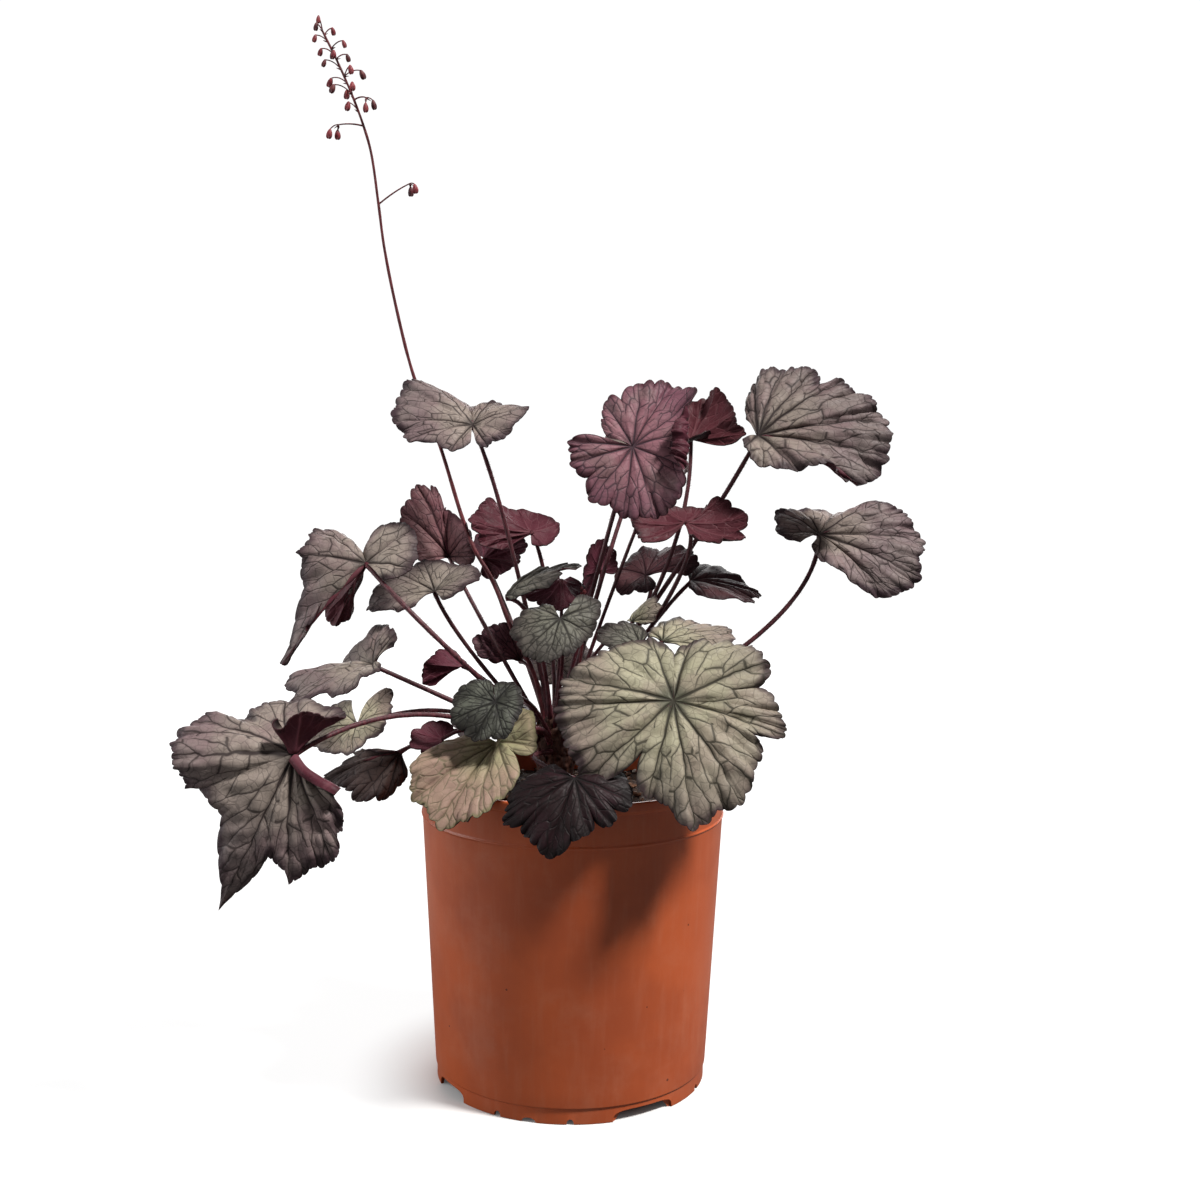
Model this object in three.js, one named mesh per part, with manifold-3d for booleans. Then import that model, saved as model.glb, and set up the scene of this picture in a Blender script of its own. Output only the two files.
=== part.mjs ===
// Heuchera in its nursery pot, in millimetres, +Z up.
// The origin is on the pot's axis, in the plane that its foot stands on.
// Every leaf is one solid: a thin lobed blade fused to its leaf stalk. All stalks rise from a short
// woody crown, which stands in a plain hole in the soil, and stop a small gap short of its bark.
import * as THREE from 'three';
import { mergeVertices } from 'three/addons/utils/BufferGeometryUtils.js';
import Module from 'manifold-3d';

const wasm = await Module();
wasm.setup();

// ---- Driving dimensions ------------------------------------------------------------------------
const GAP = 0.3; // clearance between touching pieces

const POT = {
  height: 172,
  rimRadius: 85,
  footRadius: 74.4,
  baseRadius: 75.2,
  footHeight: 9,
  wall: 1.6,
  floorUnder: 5.5,
  floorTop: 7.5,
  ridgeHeight: 149,
  ridgeRise: 0.7,
  beadHeight: 6,
  beadRise: 1.3,
  facets: 32,
};

const FOOT_NOTCHES = [
  // bearing of the middle and half width of the cut, in degrees, and its height
  { bearing: -150, half: 11, height: 6 },
  { bearing: -120, half: 1.5, height: 3 },
  { bearing: -106, half: 3, height: 2.5 },
  { bearing: -89, half: 1.5, height: 3 },
  { bearing: -57, half: 14, height: 6 },
  { bearing: -22, half: 1.5, height: 3 },
  { bearing: 10, half: 1.5, height: 3 },
  { bearing: 42, half: 12, height: 6 },
  { bearing: 78, half: 1.5, height: 3 },
  { bearing: 95, half: 3, height: 2.5 },
  { bearing: 128, half: 12, height: 6 },
];
const DRAIN_HOLES = { count: 6, ringRadius: 52, radius: 5 };

const SOIL = { surface: 157, edgeDrop: 3, lump: 1.6 };

const CROWN = {
  x: -10,
  y: 4,
  foot: 135,
  middle: 182,
  radius: 13,
  rise: 21,
  neckRadius: 9.5,
  facets: 12,
};
const ROOT_SPACING = 5.2; // least distance between leaf stalks where they leave the crown
const ROOT_SHUFFLES = 80;

const BLADE = {
  half: 0.42, // half the thickness
  innerRing: 3.2, // first ring of points round the hub
  bow: 0.07, // how far a vein arches above its chord, per length
  pleat: 0.022, // how far a vein lies below the blade beside it, per length
  ruffle: 0.035, // wave of the margin, per length
  curlFrom: 0.62, // part of a vein's length where a curled lobe starts to turn
  notch: 0.2, // depth of the cut between two lobes, per length
  tooth: 0.07, // depth of the scallops
};
const LEAF_SIZES = [
  // for leaves whose longest vein is over this reach: margin facets per lobe, inner rings, stalk radius
  { reach: 50, columns: 6, rings: [0.36, 0.7], stalk: 1.45 },
  { reach: 30, columns: 4, rings: [0.55], stalk: 1.3 },
  { reach: 0, columns: 4, rings: [], stalk: 1.1 },
];
const STALK_STEP = 30; // length of stalk per facet
const STALK_SIDES = 4;
const SWELLING = { widen: 1.5, overrun: 1.2 }; // of the stalk's end, which passes through the blade

// ---- Leaves ------------------------------------------------------------------------------------
// hub is where the stalk meets the blade, bend is the middle of the stalk, and tips are the ends of
// the main veins, as steps from the hub, counter-clockwise seen from above the upper face. notch is
// the depth of the cuts between the lobes, and curl how far each lobe's end is rolled up, in degrees.
const LEAVES = {
  top_left: {
    hub: [-56, 5, 359], bend: [-38, 18, 301], tone: 'silver',
    tips: [
      [14, -18, -10], [33, -14, -2], [24, 8, 14], [-5, 38, 10],
      [-29, 24, 28], [-45, -4, 3], [-21, -22, -11],
    ],
  },
  left: {
    hub: [-112, -10, 285], bend: [-70, -34, 247], tone: 'silver', notch: 0.25,
    tips: [
      [27, -12, -1], [24, 12, 21], [-8, 38, 7], [-29, 22, 18],
      [-39, -2, 2], [-48, -4, -57], [-11, -22, -33],
    ],
  },
  rose: {
    hub: [-73, 52, 283], bend: [-51, 28, 247], tone: 'rose',
    tips: [
      [15, -18, 1], [16, -14, 15], [4, 4, 25], [-8, 8, 40],
      [-18, 4, 41], [-28, -2, 23], [-19, -16, 1],
    ],
  },
  left_inner: {
    hub: [-76, -2, 269], bend: [-58, 6, 237], tone: 'silver',
    tips: [
      [16, -18, 3], [27, 2, 13], [13, 22, 12], [-9, 30, 11],
      [-30, 24, 6], [-40, 2, -12], [-20, -14, -11],
    ],
  },
  back_left_high: {
    hub: [-26, 44, 298], bend: [-16, 50, 259], tone: 'dark',
    tips: [
      [-14, -5, -9], [-28, -15, -6], [-35, -15, 8], [-26, 5, 18],
      [-7, 20, 12], [16, 12, 5], [9, -5, -7],
    ],
  },
  back_left_mid: {
    hub: [-54, 66, 281], bend: [-35, 50, 241], tone: 'dark',
    tips: [[-5, 18, 12], [7, 6, 19], [21, -6, 21], [26, -8, 9], [22, -6, -1], [12, 6, -9], [4, 16, -15]],
  },
  centre_fold: {
    hub: [-37, -14, 268], bend: [-21, -10, 250], tone: 'dark',
    tips: [[9, -14, 2], [28, -18, 12], [41, -5, 19], [32, 13, 16], [21, 18, 15], [10, 18, 9], [3, 12, 2]],
  },
  centre_dark: {
    hub: [-8, 26, 273], bend: [-8, 18, 241], tone: 'dark',
    tips: [
      [12, 10, -4], [11, -5, -12], [0, -12, -16], [-10, -12, -14],
      [-21, -5, -9], [-21, 8, -3], [-10, 18, 0],
    ],
  },
  centre: {
    hub: [-7, -38, 260], bend: [-6, -22, 236], tone: 'green',
    tips: [
      [-16, 15, 4], [-27, 0, -7], [-19, -12, -18], [-6, -15, -22],
      [8, -12, -16], [17, 0, -9], [21, 12, 7],
    ],
  },
  centre_pink: {
    hub: [-31, 34, 226], bend: [-22, 20, 219], tone: 'dark',
    tips: [[-22, -18, 5], [-28, -10, 13], [-20, 0, 20], [-9, 5, 22], [3, 0, 18], [7, -10, 10]],
  },
  left_small: {
    hub: [-61, -8, 229], bend: [-43, -4, 217], tone: 'dark',
    tips: [[-21, -8, -8], [-19, -12, 4], [-12, 0, 10], [-4, 10, 7], [2, 8, 1]],
  },
  left_fold: {
    hub: [-106, -28, 233], bend: [-66, -20, 213], tone: 'silver',
    tips: [
      [12, 8, 16], [2, 24, 20], [-25, 36, -8], [-50, 14, -13],
      [-40, -14, -19], [-9, -32, -9], [4, -24, 0],
    ],
  },
  low_left: {
    hub: [-136, -95, 199], bend: [-81, -36, 208], tone: 'silver', notch: 0.33,
    tips: [
      [8, -14, 24], [28, 6, 18], [-9, 30, 21], [-51, 22, 14],
      [-63, 0, -7], [-38, -6, -81], [-2, -14, -59], [22, -12, -29],
    ],
  },
  low_left_back: {
    hub: [-118, -5, 196], bend: [-68, 0, 203], tone: 'silver',
    tips: [
      [-18, 22, 7], [-33, 8, -10], [-16, -8, -15], [0, -18, -12],
      [16, -14, 0], [19, 0, 8], [18, 14, 18],
    ],
  },
  low_left_brown: {
    hub: [-97, 15, 177], bend: [-58, 10, 191], tone: 'dark',
    tips: [[9, -2, -21], [-7, -12, -27], [-25, -16, -23], [-51, -6, -21], [-33, 16, -12], [-10, 26, -2]],
  },
  low_black: {
    hub: [-71, -8, 189], bend: [-40, -5, 199], tone: 'dark',
    tips: [[5, -10, -10], [-8, -14, -6], [-17, -12, -2], [-17, -4, 5], [-10, 6, 8], [1, 12, 8]],
  },
  front_green: {
    hub: [-39, -64, 220], bend: [-25, -34, 216], tone: 'green',
    tips: [
      [-11, 14, 10], [-22, 6, 3], [-22, -8, -9], [-10, -12, -18],
      [6, -12, -16], [14, -4, -4], [9, 10, 9],
    ],
  },
  front_beige: {
    hub: [-38, -58, 198], bend: [-20, -30, 200], tone: 'beige',
    tips: [
      [-18, 6, 4], [-46, -12, -15], [-34, -32, -37], [-11, -36, -34],
      [12, -30, -22], [23, -10, 0], [13, 8, 18],
    ],
  },
  front_purple: {
    hub: [2, -88, 187], bend: [-19, -46, 187], tone: 'dark',
    tips: [
      [-20, 6, 3], [-38, -2, -12], [-26, -12, -27], [-12, -18, -38],
      [8, -18, -26], [20, -14, -22], [30, -6, -14], [24, 10, 3],
    ],
  },
  front_right: {
    hub: [51, -75, 224], bend: [17, -40, 215], tone: 'silver', notch: 0.26,
    tips: [
      [-17, 26, 27], [-50, 14, 15], [-60, -4, -10], [-42, -16, -39], [13, -28, -60],
      [45, -20, -42], [57, -4, -16], [52, 14, 21], [23, 26, 27],
    ],
  },
  right_shoulder: {
    hub: [47, -28, 247], bend: [14, -15, 227], tone: 'silver',
    tips: [[37, -18, -5], [38, 0, 6], [21, 22, 8], [3, 30, 8], [-7, 16, 3]],
  },
  right_small: {
    hub: [31, -12, 255], bend: [9, -6, 233], tone: 'silver',
    tips: [[12, -12, 3], [16, -8, 10], [13, 3, 14], [5, 14, 7], [-1, 10, 1]],
  },
  right_small_low: {
    hub: [35, -40, 246], bend: [11, -22, 229], tone: 'green',
    tips: [[2, 12, 8], [-6, 18, 11], [-22, 12, 9], [-23, 0, 3], [-15, -10, -1]],
  },
  top_rose: {
    hub: [30, -15, 349], bend: [16, -8, 296], tone: 'rose', notch: 0.18,
    curl: [0, 0, 0, 0, 40, 150, 20, 0, 0, 0],
    tips: [
      [-35, -7, 2], [-29, -12, -14], [-20, -14, -29], [-3, -16, -36], [26, -12, -32],
      [40, 4, -4], [38, 20, 26], [19, 26, 37], [3, 22, 36], [-20, 17, 17],
    ],
  },
  top_back: {
    hub: [63, 28, 352], bend: [48, 10, 278], tone: 'dark',
    tips: [
      [5, -12, -12], [-17, -6, -6], [-14, 10, 11], [6, 20, 22],
      [18, 10, 28], [30, -4, 12], [28, -12, 1],
    ],
  },
  upper_right: {
    hub: [99, 15, 355], bend: [63, 17, 292], tone: 'silver', notch: 0.14,
    tips: [
      [3, -22, -18], [28, -25, -17], [56, -19, -24], [76, 0, -1],
      [63, 14, 22], [39, 24, 36], [17, 28, 41], [-5, 20, 24],
    ],
  },
  right: {
    hub: [136, 30, 300], bend: [101, 18, 244], tone: 'silver',
    tips: [
      [12, -18, -21], [42, -14, -35], [60, -4, -22], [62, 4, -2],
      [40, 16, 18], [13, 34, 11], [-25, 14, 13], [-21, -12, 1],
    ],
  },
  rose_crinkled: {
    hub: [59, -4, 308], bend: [53, 0, 271], tone: 'dark',
    tips: [
      [-24, -10, -9], [-29, 0, 0], [-12, 10, 7], [10, 14, 8],
      [20, 11, 14], [35, 0, 3], [31, -12, -8], [13, -20, -8],
    ],
  },
  rose_small: {
    hub: [38, 8, 315], bend: [24, 4, 280], tone: 'dark',
    tips: [[12, -8, -11], [4, -14, -18], [-4, -12, -15], [-8, -4, -7], [-5, 6, 0]],
  },
  right_dark: {
    hub: [64, 22, 274], bend: [41, 12, 248], tone: 'dark',
    tips: [[7, -20, -6], [35, -12, -11], [40, 0, -8], [32, 14, -2], [15, 28, 7], [1, 24, 5]],
  },
  right_mid: {
    hub: [39, 28, 276], bend: [36, 24, 251], tone: 'dark',
    tips: [
      [31, 2, 7], [26, 15, 15], [12, 28, 14], [-2, 24, 13],
      [-16, 8, 2], [-14, -14, -9], [0, -20, -7],
    ],
  },
  centre_round: {
    hub: [14, 32, 278], bend: [8, 20, 249], tone: 'dark',
    tips: [[-9, -5, -15], [-10, -12, -2], [-7, -8, 13], [1, 5, 18], [8, 12, 11], [10, 10, 1]],
  },
  back_high: {
    hub: [37, 58, 338], bend: [20, 24, 293], tone: 'silver',
    tips: [
      [10, -14, -14], [27, -4, -4], [25, 14, 12], [6, 26, 27],
      [-16, 18, 21], [-26, 0, 5], [-17, -14, -11],
    ],
  },
  back_low_right: {
    hub: [62, 72, 183], bend: [26, 40, 203], tone: 'silver',
    tips: [
      [11, -20, -8], [39, 0, -3], [40, 25, 8], [14, 44, 13],
      [-17, 40, 14], [-35, 15, 5], [-24, -15, -6],
    ],
  },
  back_low_left: {
    hub: [-49, 72, 187], bend: [-31, 38, 203], tone: 'silver',
    tips: [
      [11, -20, -9], [24, 0, -7], [20, 28, 2], [2, 44, 8],
      [-15, 36, 7], [-26, 12, -3], [-17, -14, -11],
    ],
  },
  back_centre: {
    hub: [-9, 62, 218], bend: [-11, 30, 210], tone: 'silver',
    tips: [
      [9, -12, -8], [22, 2, -2], [18, 20, 8], [2, 30, 12],
      [-13, 24, 10], [-19, 6, 1], [-10, -10, -8],
    ],
  },
};

// ---- Flower stalks -----------------------------------------------------------------------------
const SPIKE = {
  path: [
    [-22, 9, 222], [-36, 13, 250], [-46, 24, 272], [-57, 29, 290], [-64, 33, 307],
    [-77, 38, 347], [-92, 40, 386], [-101, 40, 421], [-108, 40, 456], [-111, 40, 479],
    [-115, 40, 507], [-119, 40, 521], [-125, 40, 537], [-133, 40, 555], [-141, 40, 571],
  ],
  steps: 26,
  sides: 4,
  rootRadius: 1.4,
  tipRadius: 0.65,
};
const SPRAYS = [
  // side branches of the spike, from the stalk outwards
  { path: [[-119, 40, 521], [-125, 38, 522.5], [-132, 36, 521]], buds: [[-137, 35, 516], [-133, 38, 516]] },
  { path: [[-111, 40, 479], [-102, 42, 487], [-94, 44, 491]], buds: [[-94, 47, 487], [-91, 42, 488]] },
  { path: [[-124, 40, 535], [-120, 38, 537], [-117, 36, 535.5]], buds: [[-117, 34, 530], [-113, 37, 532]] },
];
const BUDS = [
  [-127, 36, 531], [-120, 43, 549], [-125, 34, 550], [-138, 45, 545], [-135, 35, 540],
  [-129, 46, 539], [-124, 33, 541], [-140, 38, 554], [-143, 44, 561], [-129, 37, 564],
  [-128, 44, 558], [-145, 38, 567], [-136, 44, 572], [-145, 42, 574], [-143, 38, 577],
  [-134, 33, 558], [-137, 47, 560],
];
const BUD = { length: 5.6, radius: 1.6, facets: 4, stalk: 0.5, drop: 2.2 };
const YOUNG_SPIKE = {
  path: [[3, -12, 232], [5, -16, 258], [5, -16, 273]],
  steps: 6,
  radius: 0.95,
  budsFrom: 0.72,
  buds: 7,
  spread: 3.6,
};

// ---- Materials ---------------------------------------------------------------------------------
const finish = (color, roughness) => new THREE.MeshStandardMaterial({ color, roughness, metalness: 0 });
const MATERIALS = {
  pot: finish(0xa5553a, 0.5),
  soil: finish(0x2b211c, 0.95),
  crown: finish(0x4a3229, 0.9),
  stalk: finish(0x6b2a33, 0.6),
  silver: finish(0x9a9290, 0.7),
  rose: finish(0x9a6a73, 0.7),
  green: finish(0x5c6560, 0.7),
  beige: finish(0xb3a58f, 0.7),
  dark: finish(0x4d3038, 0.7),
};

// ---- Solids ------------------------------------------------------------------------------------
/** A solid from a list of points and a list of triangles that close it. */
function solidFrom(points, triangles) {
  const mesh = new wasm.Mesh({
    numProp: 3,
    vertProperties: new Float32Array(points.flat()),
    triVerts: new Uint32Array(triangles.flat()),
  });
  mesh.merge();
  return new wasm.Manifold(mesh);
}

/** A solid from a closed three.js geometry. */
function solidOf(geometry) {
  const bare = geometry.clone();
  bare.deleteAttribute('normal');
  bare.deleteAttribute('uv');
  const merged = mergeVertices(bare, 1e-4);
  return new wasm.Manifold(new wasm.Mesh({
    numProp: 3,
    vertProperties: new Float32Array(merged.attributes.position.array),
    triVerts: new Uint32Array(merged.index.array),
  }));
}

/** A named mesh from a solid. */
function meshOf(name, solid, material) {
  const { vertProperties, triVerts } = solid.getMesh();
  const geometry = new THREE.BufferGeometry();
  geometry.setAttribute('position', new THREE.BufferAttribute(new Float32Array(vertProperties), 3));
  geometry.setIndex(new THREE.BufferAttribute(new Uint32Array(triVerts), 1));
  geometry.computeVertexNormals();
  const mesh = new THREE.Mesh(geometry, material);
  mesh.name = name;
  return mesh;
}

const vector = (p) => new THREE.Vector3(...p);
const radians = THREE.MathUtils.degToRad;

/** Seeded draws between 0 and 1. */
function seededDraws(seed) {
  let state = seed;
  return () => {
    state = (state * 1664525 + 1013904223) % 4294967296;
    return state / 4294967296;
  };
}

/** A round stalk along a curve, closed at both ends, that tapers evenly and may swell at its very end. */
function stalkSolid(curve, steps, sides, startRadius, endRadius, swelling = { widen: 1, overrun: 0 }) {
  const frames = curve.computeFrenetFrames(steps, false);
  const points = [];
  for (let step = 0; step <= steps; step += 1) {
    const centre = curve.getPointAt(step / steps);
    let radius = startRadius + (endRadius - startRadius) * (step / steps);
    if (step === steps) {
      radius *= swelling.widen;
      centre.addScaledVector(frames.tangents[step], swelling.overrun);
    }
    for (let side = 0; side < sides; side += 1) {
      const turn = (2 * Math.PI * side) / sides;
      points.push(centre.clone()
        .addScaledVector(frames.normals[step], radius * Math.cos(turn))
        .addScaledVector(frames.binormals[step], radius * Math.sin(turn))
        .toArray());
    }
  }
  const triangles = [];
  for (let step = 0; step < steps; step += 1) {
    for (let side = 0; side < sides; side += 1) {
      const next = (side + 1) % sides;
      const [a, b] = [step * sides + side, step * sides + next];
      const [c, d] = [a + sides, b + sides];
      triangles.push([a, b, d], [a, d, c]);
    }
  }
  const last = steps * sides;
  for (let side = 1; side < sides - 1; side += 1) {
    triangles.push([0, side + 1, side], [last, last + side, last + side + 1]);
  }
  return solidFrom(points, triangles);
}

// ---- Pot, soil and crown -----------------------------------------------------------------------
/** Radius of the pot's outer wall at a height. */
function wallRadius(z) {
  const { footHeight, height, baseRadius, rimRadius, beadRise } = POT;
  return baseRadius + (rimRadius - beadRise - baseRadius) * ((z - footHeight) / (height - footHeight));
}

/** The pot: one thin wall with a rim bead, a fine ridge, a notched foot ring and drain holes. */
function potSolid() {
  const p = POT;
  const bead = p.height - p.beadHeight;
  const ridge = wallRadius(p.ridgeHeight) + p.ridgeRise;
  const profile = [
    [0, p.floorUnder],
    [p.footRadius - 2.6, p.floorUnder],
    [p.footRadius - p.wall, 0],
    [p.footRadius, 0],
    [p.footRadius, p.footHeight - 0.4],
    [p.baseRadius, p.footHeight],
    [wallRadius(p.ridgeHeight - 0.7), p.ridgeHeight - 0.7],
    [ridge, p.ridgeHeight],
    [wallRadius(p.ridgeHeight + 0.7), p.ridgeHeight + 0.7],
    [wallRadius(bead), bead],
    [p.rimRadius, bead + 1.2],
    [p.rimRadius, p.height - 1.2],
    [p.rimRadius - 1.2, p.height],
    [p.rimRadius - 2.6, p.height],
    [wallRadius(bead) - p.wall, bead],
    [p.baseRadius - p.wall, p.floorTop],
    [0, p.floorTop],
  ].map(([r, z]) => new THREE.Vector2(r, z));
  // the profile is drawn about Y, then stood up about Z
  const shell = new THREE.LatheGeometry(profile, p.facets).rotateX(Math.PI / 2);
  let solid = solidOf(shell);
  const skirtDepth = 6;
  for (const { bearing, half, height } of FOOT_NOTCHES) {
    const width = 2 * p.footRadius * Math.tan(radians(half));
    const cutter = new THREE.BoxGeometry(skirtDepth, width, 2 * height)
      .translate(p.footRadius, 0, 0)
      .rotateZ(radians(bearing));
    solid = solid.subtract(solidOf(cutter));
  }
  for (let hole = 0; hole < DRAIN_HOLES.count; hole += 1) {
    const cutter = new THREE.CylinderGeometry(DRAIN_HOLES.radius, DRAIN_HOLES.radius, 8, 6)
      .rotateX(Math.PI / 2)
      .translate(DRAIN_HOLES.ringRadius, 0, (p.floorUnder + p.floorTop) / 2)
      .rotateZ((2 * Math.PI * hole) / DRAIN_HOLES.count);
    solid = solid.subtract(solidOf(cutter));
  }
  return solid;
}

/** The crown's profile, grown outwards by a clearance. */
function crownSolid(grow = 0) {
  const { foot, middle, radius, rise, neckRadius, facets } = CROWN;
  const dome = [0, 20, 40, 60, 78].map((angle) => [
    (radius + grow) * Math.cos(radians(angle)),
    middle + (rise + grow) * Math.sin(radians(angle)),
  ]);
  const profile = [
    [0, foot - grow],
    [neckRadius + grow, foot - grow],
    [neckRadius + grow, middle - rise],
    [radius + grow, middle - rise / 3],
    ...dome,
    [0, middle + rise + grow],
  ].map(([r, z]) => new THREE.Vector2(r, z));
  const geometry = new THREE.LatheGeometry(profile, facets).rotateX(Math.PI / 2);
  return solidOf(geometry.translate(CROWN.x, CROWN.y, 0));
}

/** The soil: it fills the pot, with a lumpy surface and a hole for the crown. */
function soilSolid() {
  const draw = seededDraws(11);
  const inner = (z) => {
    const bead = POT.height - POT.beadHeight;
    const low = POT.baseRadius - POT.wall;
    const high = wallRadius(bead) - POT.wall;
    return low + ((high - low) * (z - POT.floorTop)) / (bead - POT.floorTop) - GAP - 0.1;
  };
  const bottom = POT.floorTop + GAP;
  const edge = SOIL.surface - SOIL.edgeDrop;
  const profile = [
    [0, bottom],
    [inner(bottom), bottom],
    [inner(edge), edge],
    [0.8 * inner(edge), SOIL.surface - 1],
    [0.45 * inner(edge), SOIL.surface],
    [0, SOIL.surface + 1],
  ].map(([r, z]) => new THREE.Vector2(r, z));
  const geometry = mergeVertices(bareLathe(profile), 1e-4).rotateX(Math.PI / 2);
  const position = geometry.attributes.position;
  for (let i = 0; i < position.count; i += 1) {
    if (position.getZ(i) > edge + 0.5) {
      position.setZ(i, position.getZ(i) + SOIL.lump * (2 * draw() - 1));
    }
  }
  return solidOf(geometry).subtract(crownSolid(GAP));
}

/** A turned solid with points only. */
function bareLathe(profile) {
  const geometry = new THREE.LatheGeometry(profile, POT.facets);
  geometry.deleteAttribute('normal');
  geometry.deleteAttribute('uv');
  return geometry;
}

// ---- Leaves ------------------------------------------------------------------------------------
/** Catmull-Rom blend of four numbers, and its slope. */
function blend([a, b, c, d], t) {
  const k2 = 2 * a - 5 * b + 4 * c - d;
  const k3 = -a + 3 * b - 3 * c + d;
  return [
    0.5 * (2 * b + (c - a) * t + k2 * t * t + k3 * t * t * t),
    0.5 * (c - a + 2 * k2 * t + 3 * k3 * t * t),
  ];
}

/**
 * How the blade runs out from the hub at any place s between the veins, where s counts the veins from 0.
 * Gives the direction, the upper side, the reach and the curl there. Beyond the first and last vein the
 * directions go on turning as they did between the last two.
 */
function veinField(tips, curls) {
  const ends = tips.map(vector);
  const reach = ends.map((end) => end.length());
  const heading = ends.map((end) => end.clone().normalize());
  const beyond = (near, far) => near.clone().multiplyScalar(2 * near.dot(far)).sub(far);
  const last = tips.length - 1;
  heading.unshift(beyond(heading[0], heading[1]));
  heading.push(beyond(heading[last + 1], heading[last]));
  const reaches = [0.8 * reach[0], ...reach, 0.8 * reach[last]];
  const turns = [curls[0], ...curls, curls[last]];
  const four = (list, i) => [-1, 0, 1, 2].map((k) => list[Math.min(Math.max(i + 1 + k, 0), last + 2)]);
  return (s) => {
    const i = Math.min(Math.max(Math.floor(s), -1), last);
    const t = s - i;
    const along = ['x', 'y', 'z'].map((axis) => blend(four(heading, i).map((v) => v[axis]), t));
    const direction = vector(along.map(([value]) => value)).normalize();
    const slope = vector(along.map(([, rate]) => rate));
    return {
      direction,
      up: direction.clone().cross(slope).normalize(),
      reach: blend(four(reaches, i), t)[0],
      curl: radians(Math.max(0, blend(four(turns, i), t)[0])),
    };
  };
}

/** Length of the blade at s, as a part of the reach: lobes with three rounded scallops each. */
function marginAt(s, notch) {
  const t = s - Math.round(s);
  const lobe = 1 - notch * Math.abs(2 * t) ** 1.8;
  const scallops = 1 - BLADE.tooth * (1 - Math.abs(Math.cos(3 * Math.PI * t)));
  return lobe * scallops;
}

/** A point of the blade's middle surface at part rho of the way from the hub to the margin. */
function bladePoint(field, s, rho, notch, phase) {
  const { direction, up, reach, curl } = field(s);
  const { bow, pleat, ruffle, curlFrom } = BLADE;
  const turned = Math.max(0, rho - curlFrom) / (1 - curlFrom);
  const angle = curl * turned;
  const flat = curl < 0.05;
  const out = flat || !turned ? rho : curlFrom + ((1 - curlFrom) * Math.sin(angle)) / curl;
  const lift = flat ? 0 : ((1 - curlFrom) * (1 - Math.cos(angle))) / curl;
  const arch = 4 * bow * rho * (1 - rho);
  const fold = -pleat * rho * Math.cos(2 * Math.PI * s);
  const wave = ruffle * rho ** 3 * Math.sin(2 * Math.PI * (0.75 * s + phase));
  const length = reach * marginAt(s, notch);
  return direction.clone().multiplyScalar(out * length)
    .addScaledVector(up, lift * length + (arch + fold + wave) * reach);
}

/** The blade as a closed solid: one middle surface, moved half the thickness to either side. */
function bladeSolid(leaf, size, phase) {
  const { tips, notch = BLADE.notch } = leaf;
  const curls = leaf.curl ?? tips.map(() => 0);
  const field = veinField(tips, curls);
  const ringOf = (perLobe, rhoAt) => Array.from({ length: perLobe * tips.length + 1 }, (_, i) => {
    const s = -0.5 + i / perLobe;
    return bladePoint(field, s, rhoAt(s), notch, phase);
  });
  const rings = [
    ringOf(1, (s) => BLADE.innerRing / (field(s).reach * marginAt(s, notch))),
    ...size.rings.map((rho) => ringOf(2, () => rho)),
    ringOf(size.columns, () => 1),
  ];
  // triangles of the upper face; point 0 is the hub
  const starts = rings.map((_, k) => 1 + rings.slice(0, k).reduce((sum, ring) => sum + ring.length, 0));
  const face = tips.map((_, i) => [0, starts[0] + i, starts[0] + i + 1]);
  for (let k = 0; k + 1 < rings.length; k += 1) {
    // each space of the inner ring faces several of the outer one
    const spaces = rings[k].length - 1;
    const share = (rings[k + 1].length - 1) / spaces;
    const split = Math.floor(share / 2);
    for (let i = 0; i < spaces; i += 1) {
      const [a, b] = [starts[k] + i, starts[k + 1] + i * share];
      for (let step = 0; step < share; step += 1) {
        face.push([step < split ? a : a + 1, b + step, b + step + 1]);
      }
      face.push([a, b + split, a + 1]);
    }
  }
  const middle = [new THREE.Vector3(), ...rings.flat()];
  const normals = middle.map(() => new THREE.Vector3());
  for (const [a, b, c] of face) {
    const normal = middle[b].clone().sub(middle[a]).cross(middle[c].clone().sub(middle[a]));
    [a, b, c].forEach((corner) => normals[corner].add(normal));
  }
  const hub = vector(leaf.hub);
  const side = (sign) => middle.map((point, i) => {
    const thickness = i === 0 ? 0 : sign * BLADE.half;
    return point.clone().addScaledVector(normals[i].normalize(), thickness).add(hub).toArray();
  });
  const lower = middle.length - 1; // the hub is one point, shared by both faces
  const under = (i) => (i === 0 ? 0 : i + lower);
  const points = [...side(1), ...side(-1).slice(1)];
  const edge = [
    0,
    ...starts,
    ...rings.at(-1).slice(1, -1).map((_, i) => starts.at(-1) + 1 + i),
    ...starts.map((start, k) => start + rings[k].length - 1).reverse(),
  ];
  const walls = edge.flatMap((from, i) => {
    const to = edge[(i + 1) % edge.length];
    const wall = [];
    if (from !== 0) wall.push([from, under(from), to]);
    if (to !== 0) wall.push([to, under(from), under(to)]);
    return wall;
  });
  const lowerFace = face.map(([a, b, c]) => [under(a), under(c), under(b)]);
  return solidFrom(points, [...face, ...lowerFace, ...walls]);
}

/** The curve of a leaf stalk, from its root on the crown through its bend to the hub. */
function stalkCurve(root, leaf) {
  const [start, bend, hub] = [root, vector(leaf.bend), vector(leaf.hub)];
  const control = bend.clone().multiplyScalar(2).addScaledVector(start, -0.5).addScaledVector(hub, -0.5);
  return new THREE.QuadraticBezierCurve3(start, control, hub);
}

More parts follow.
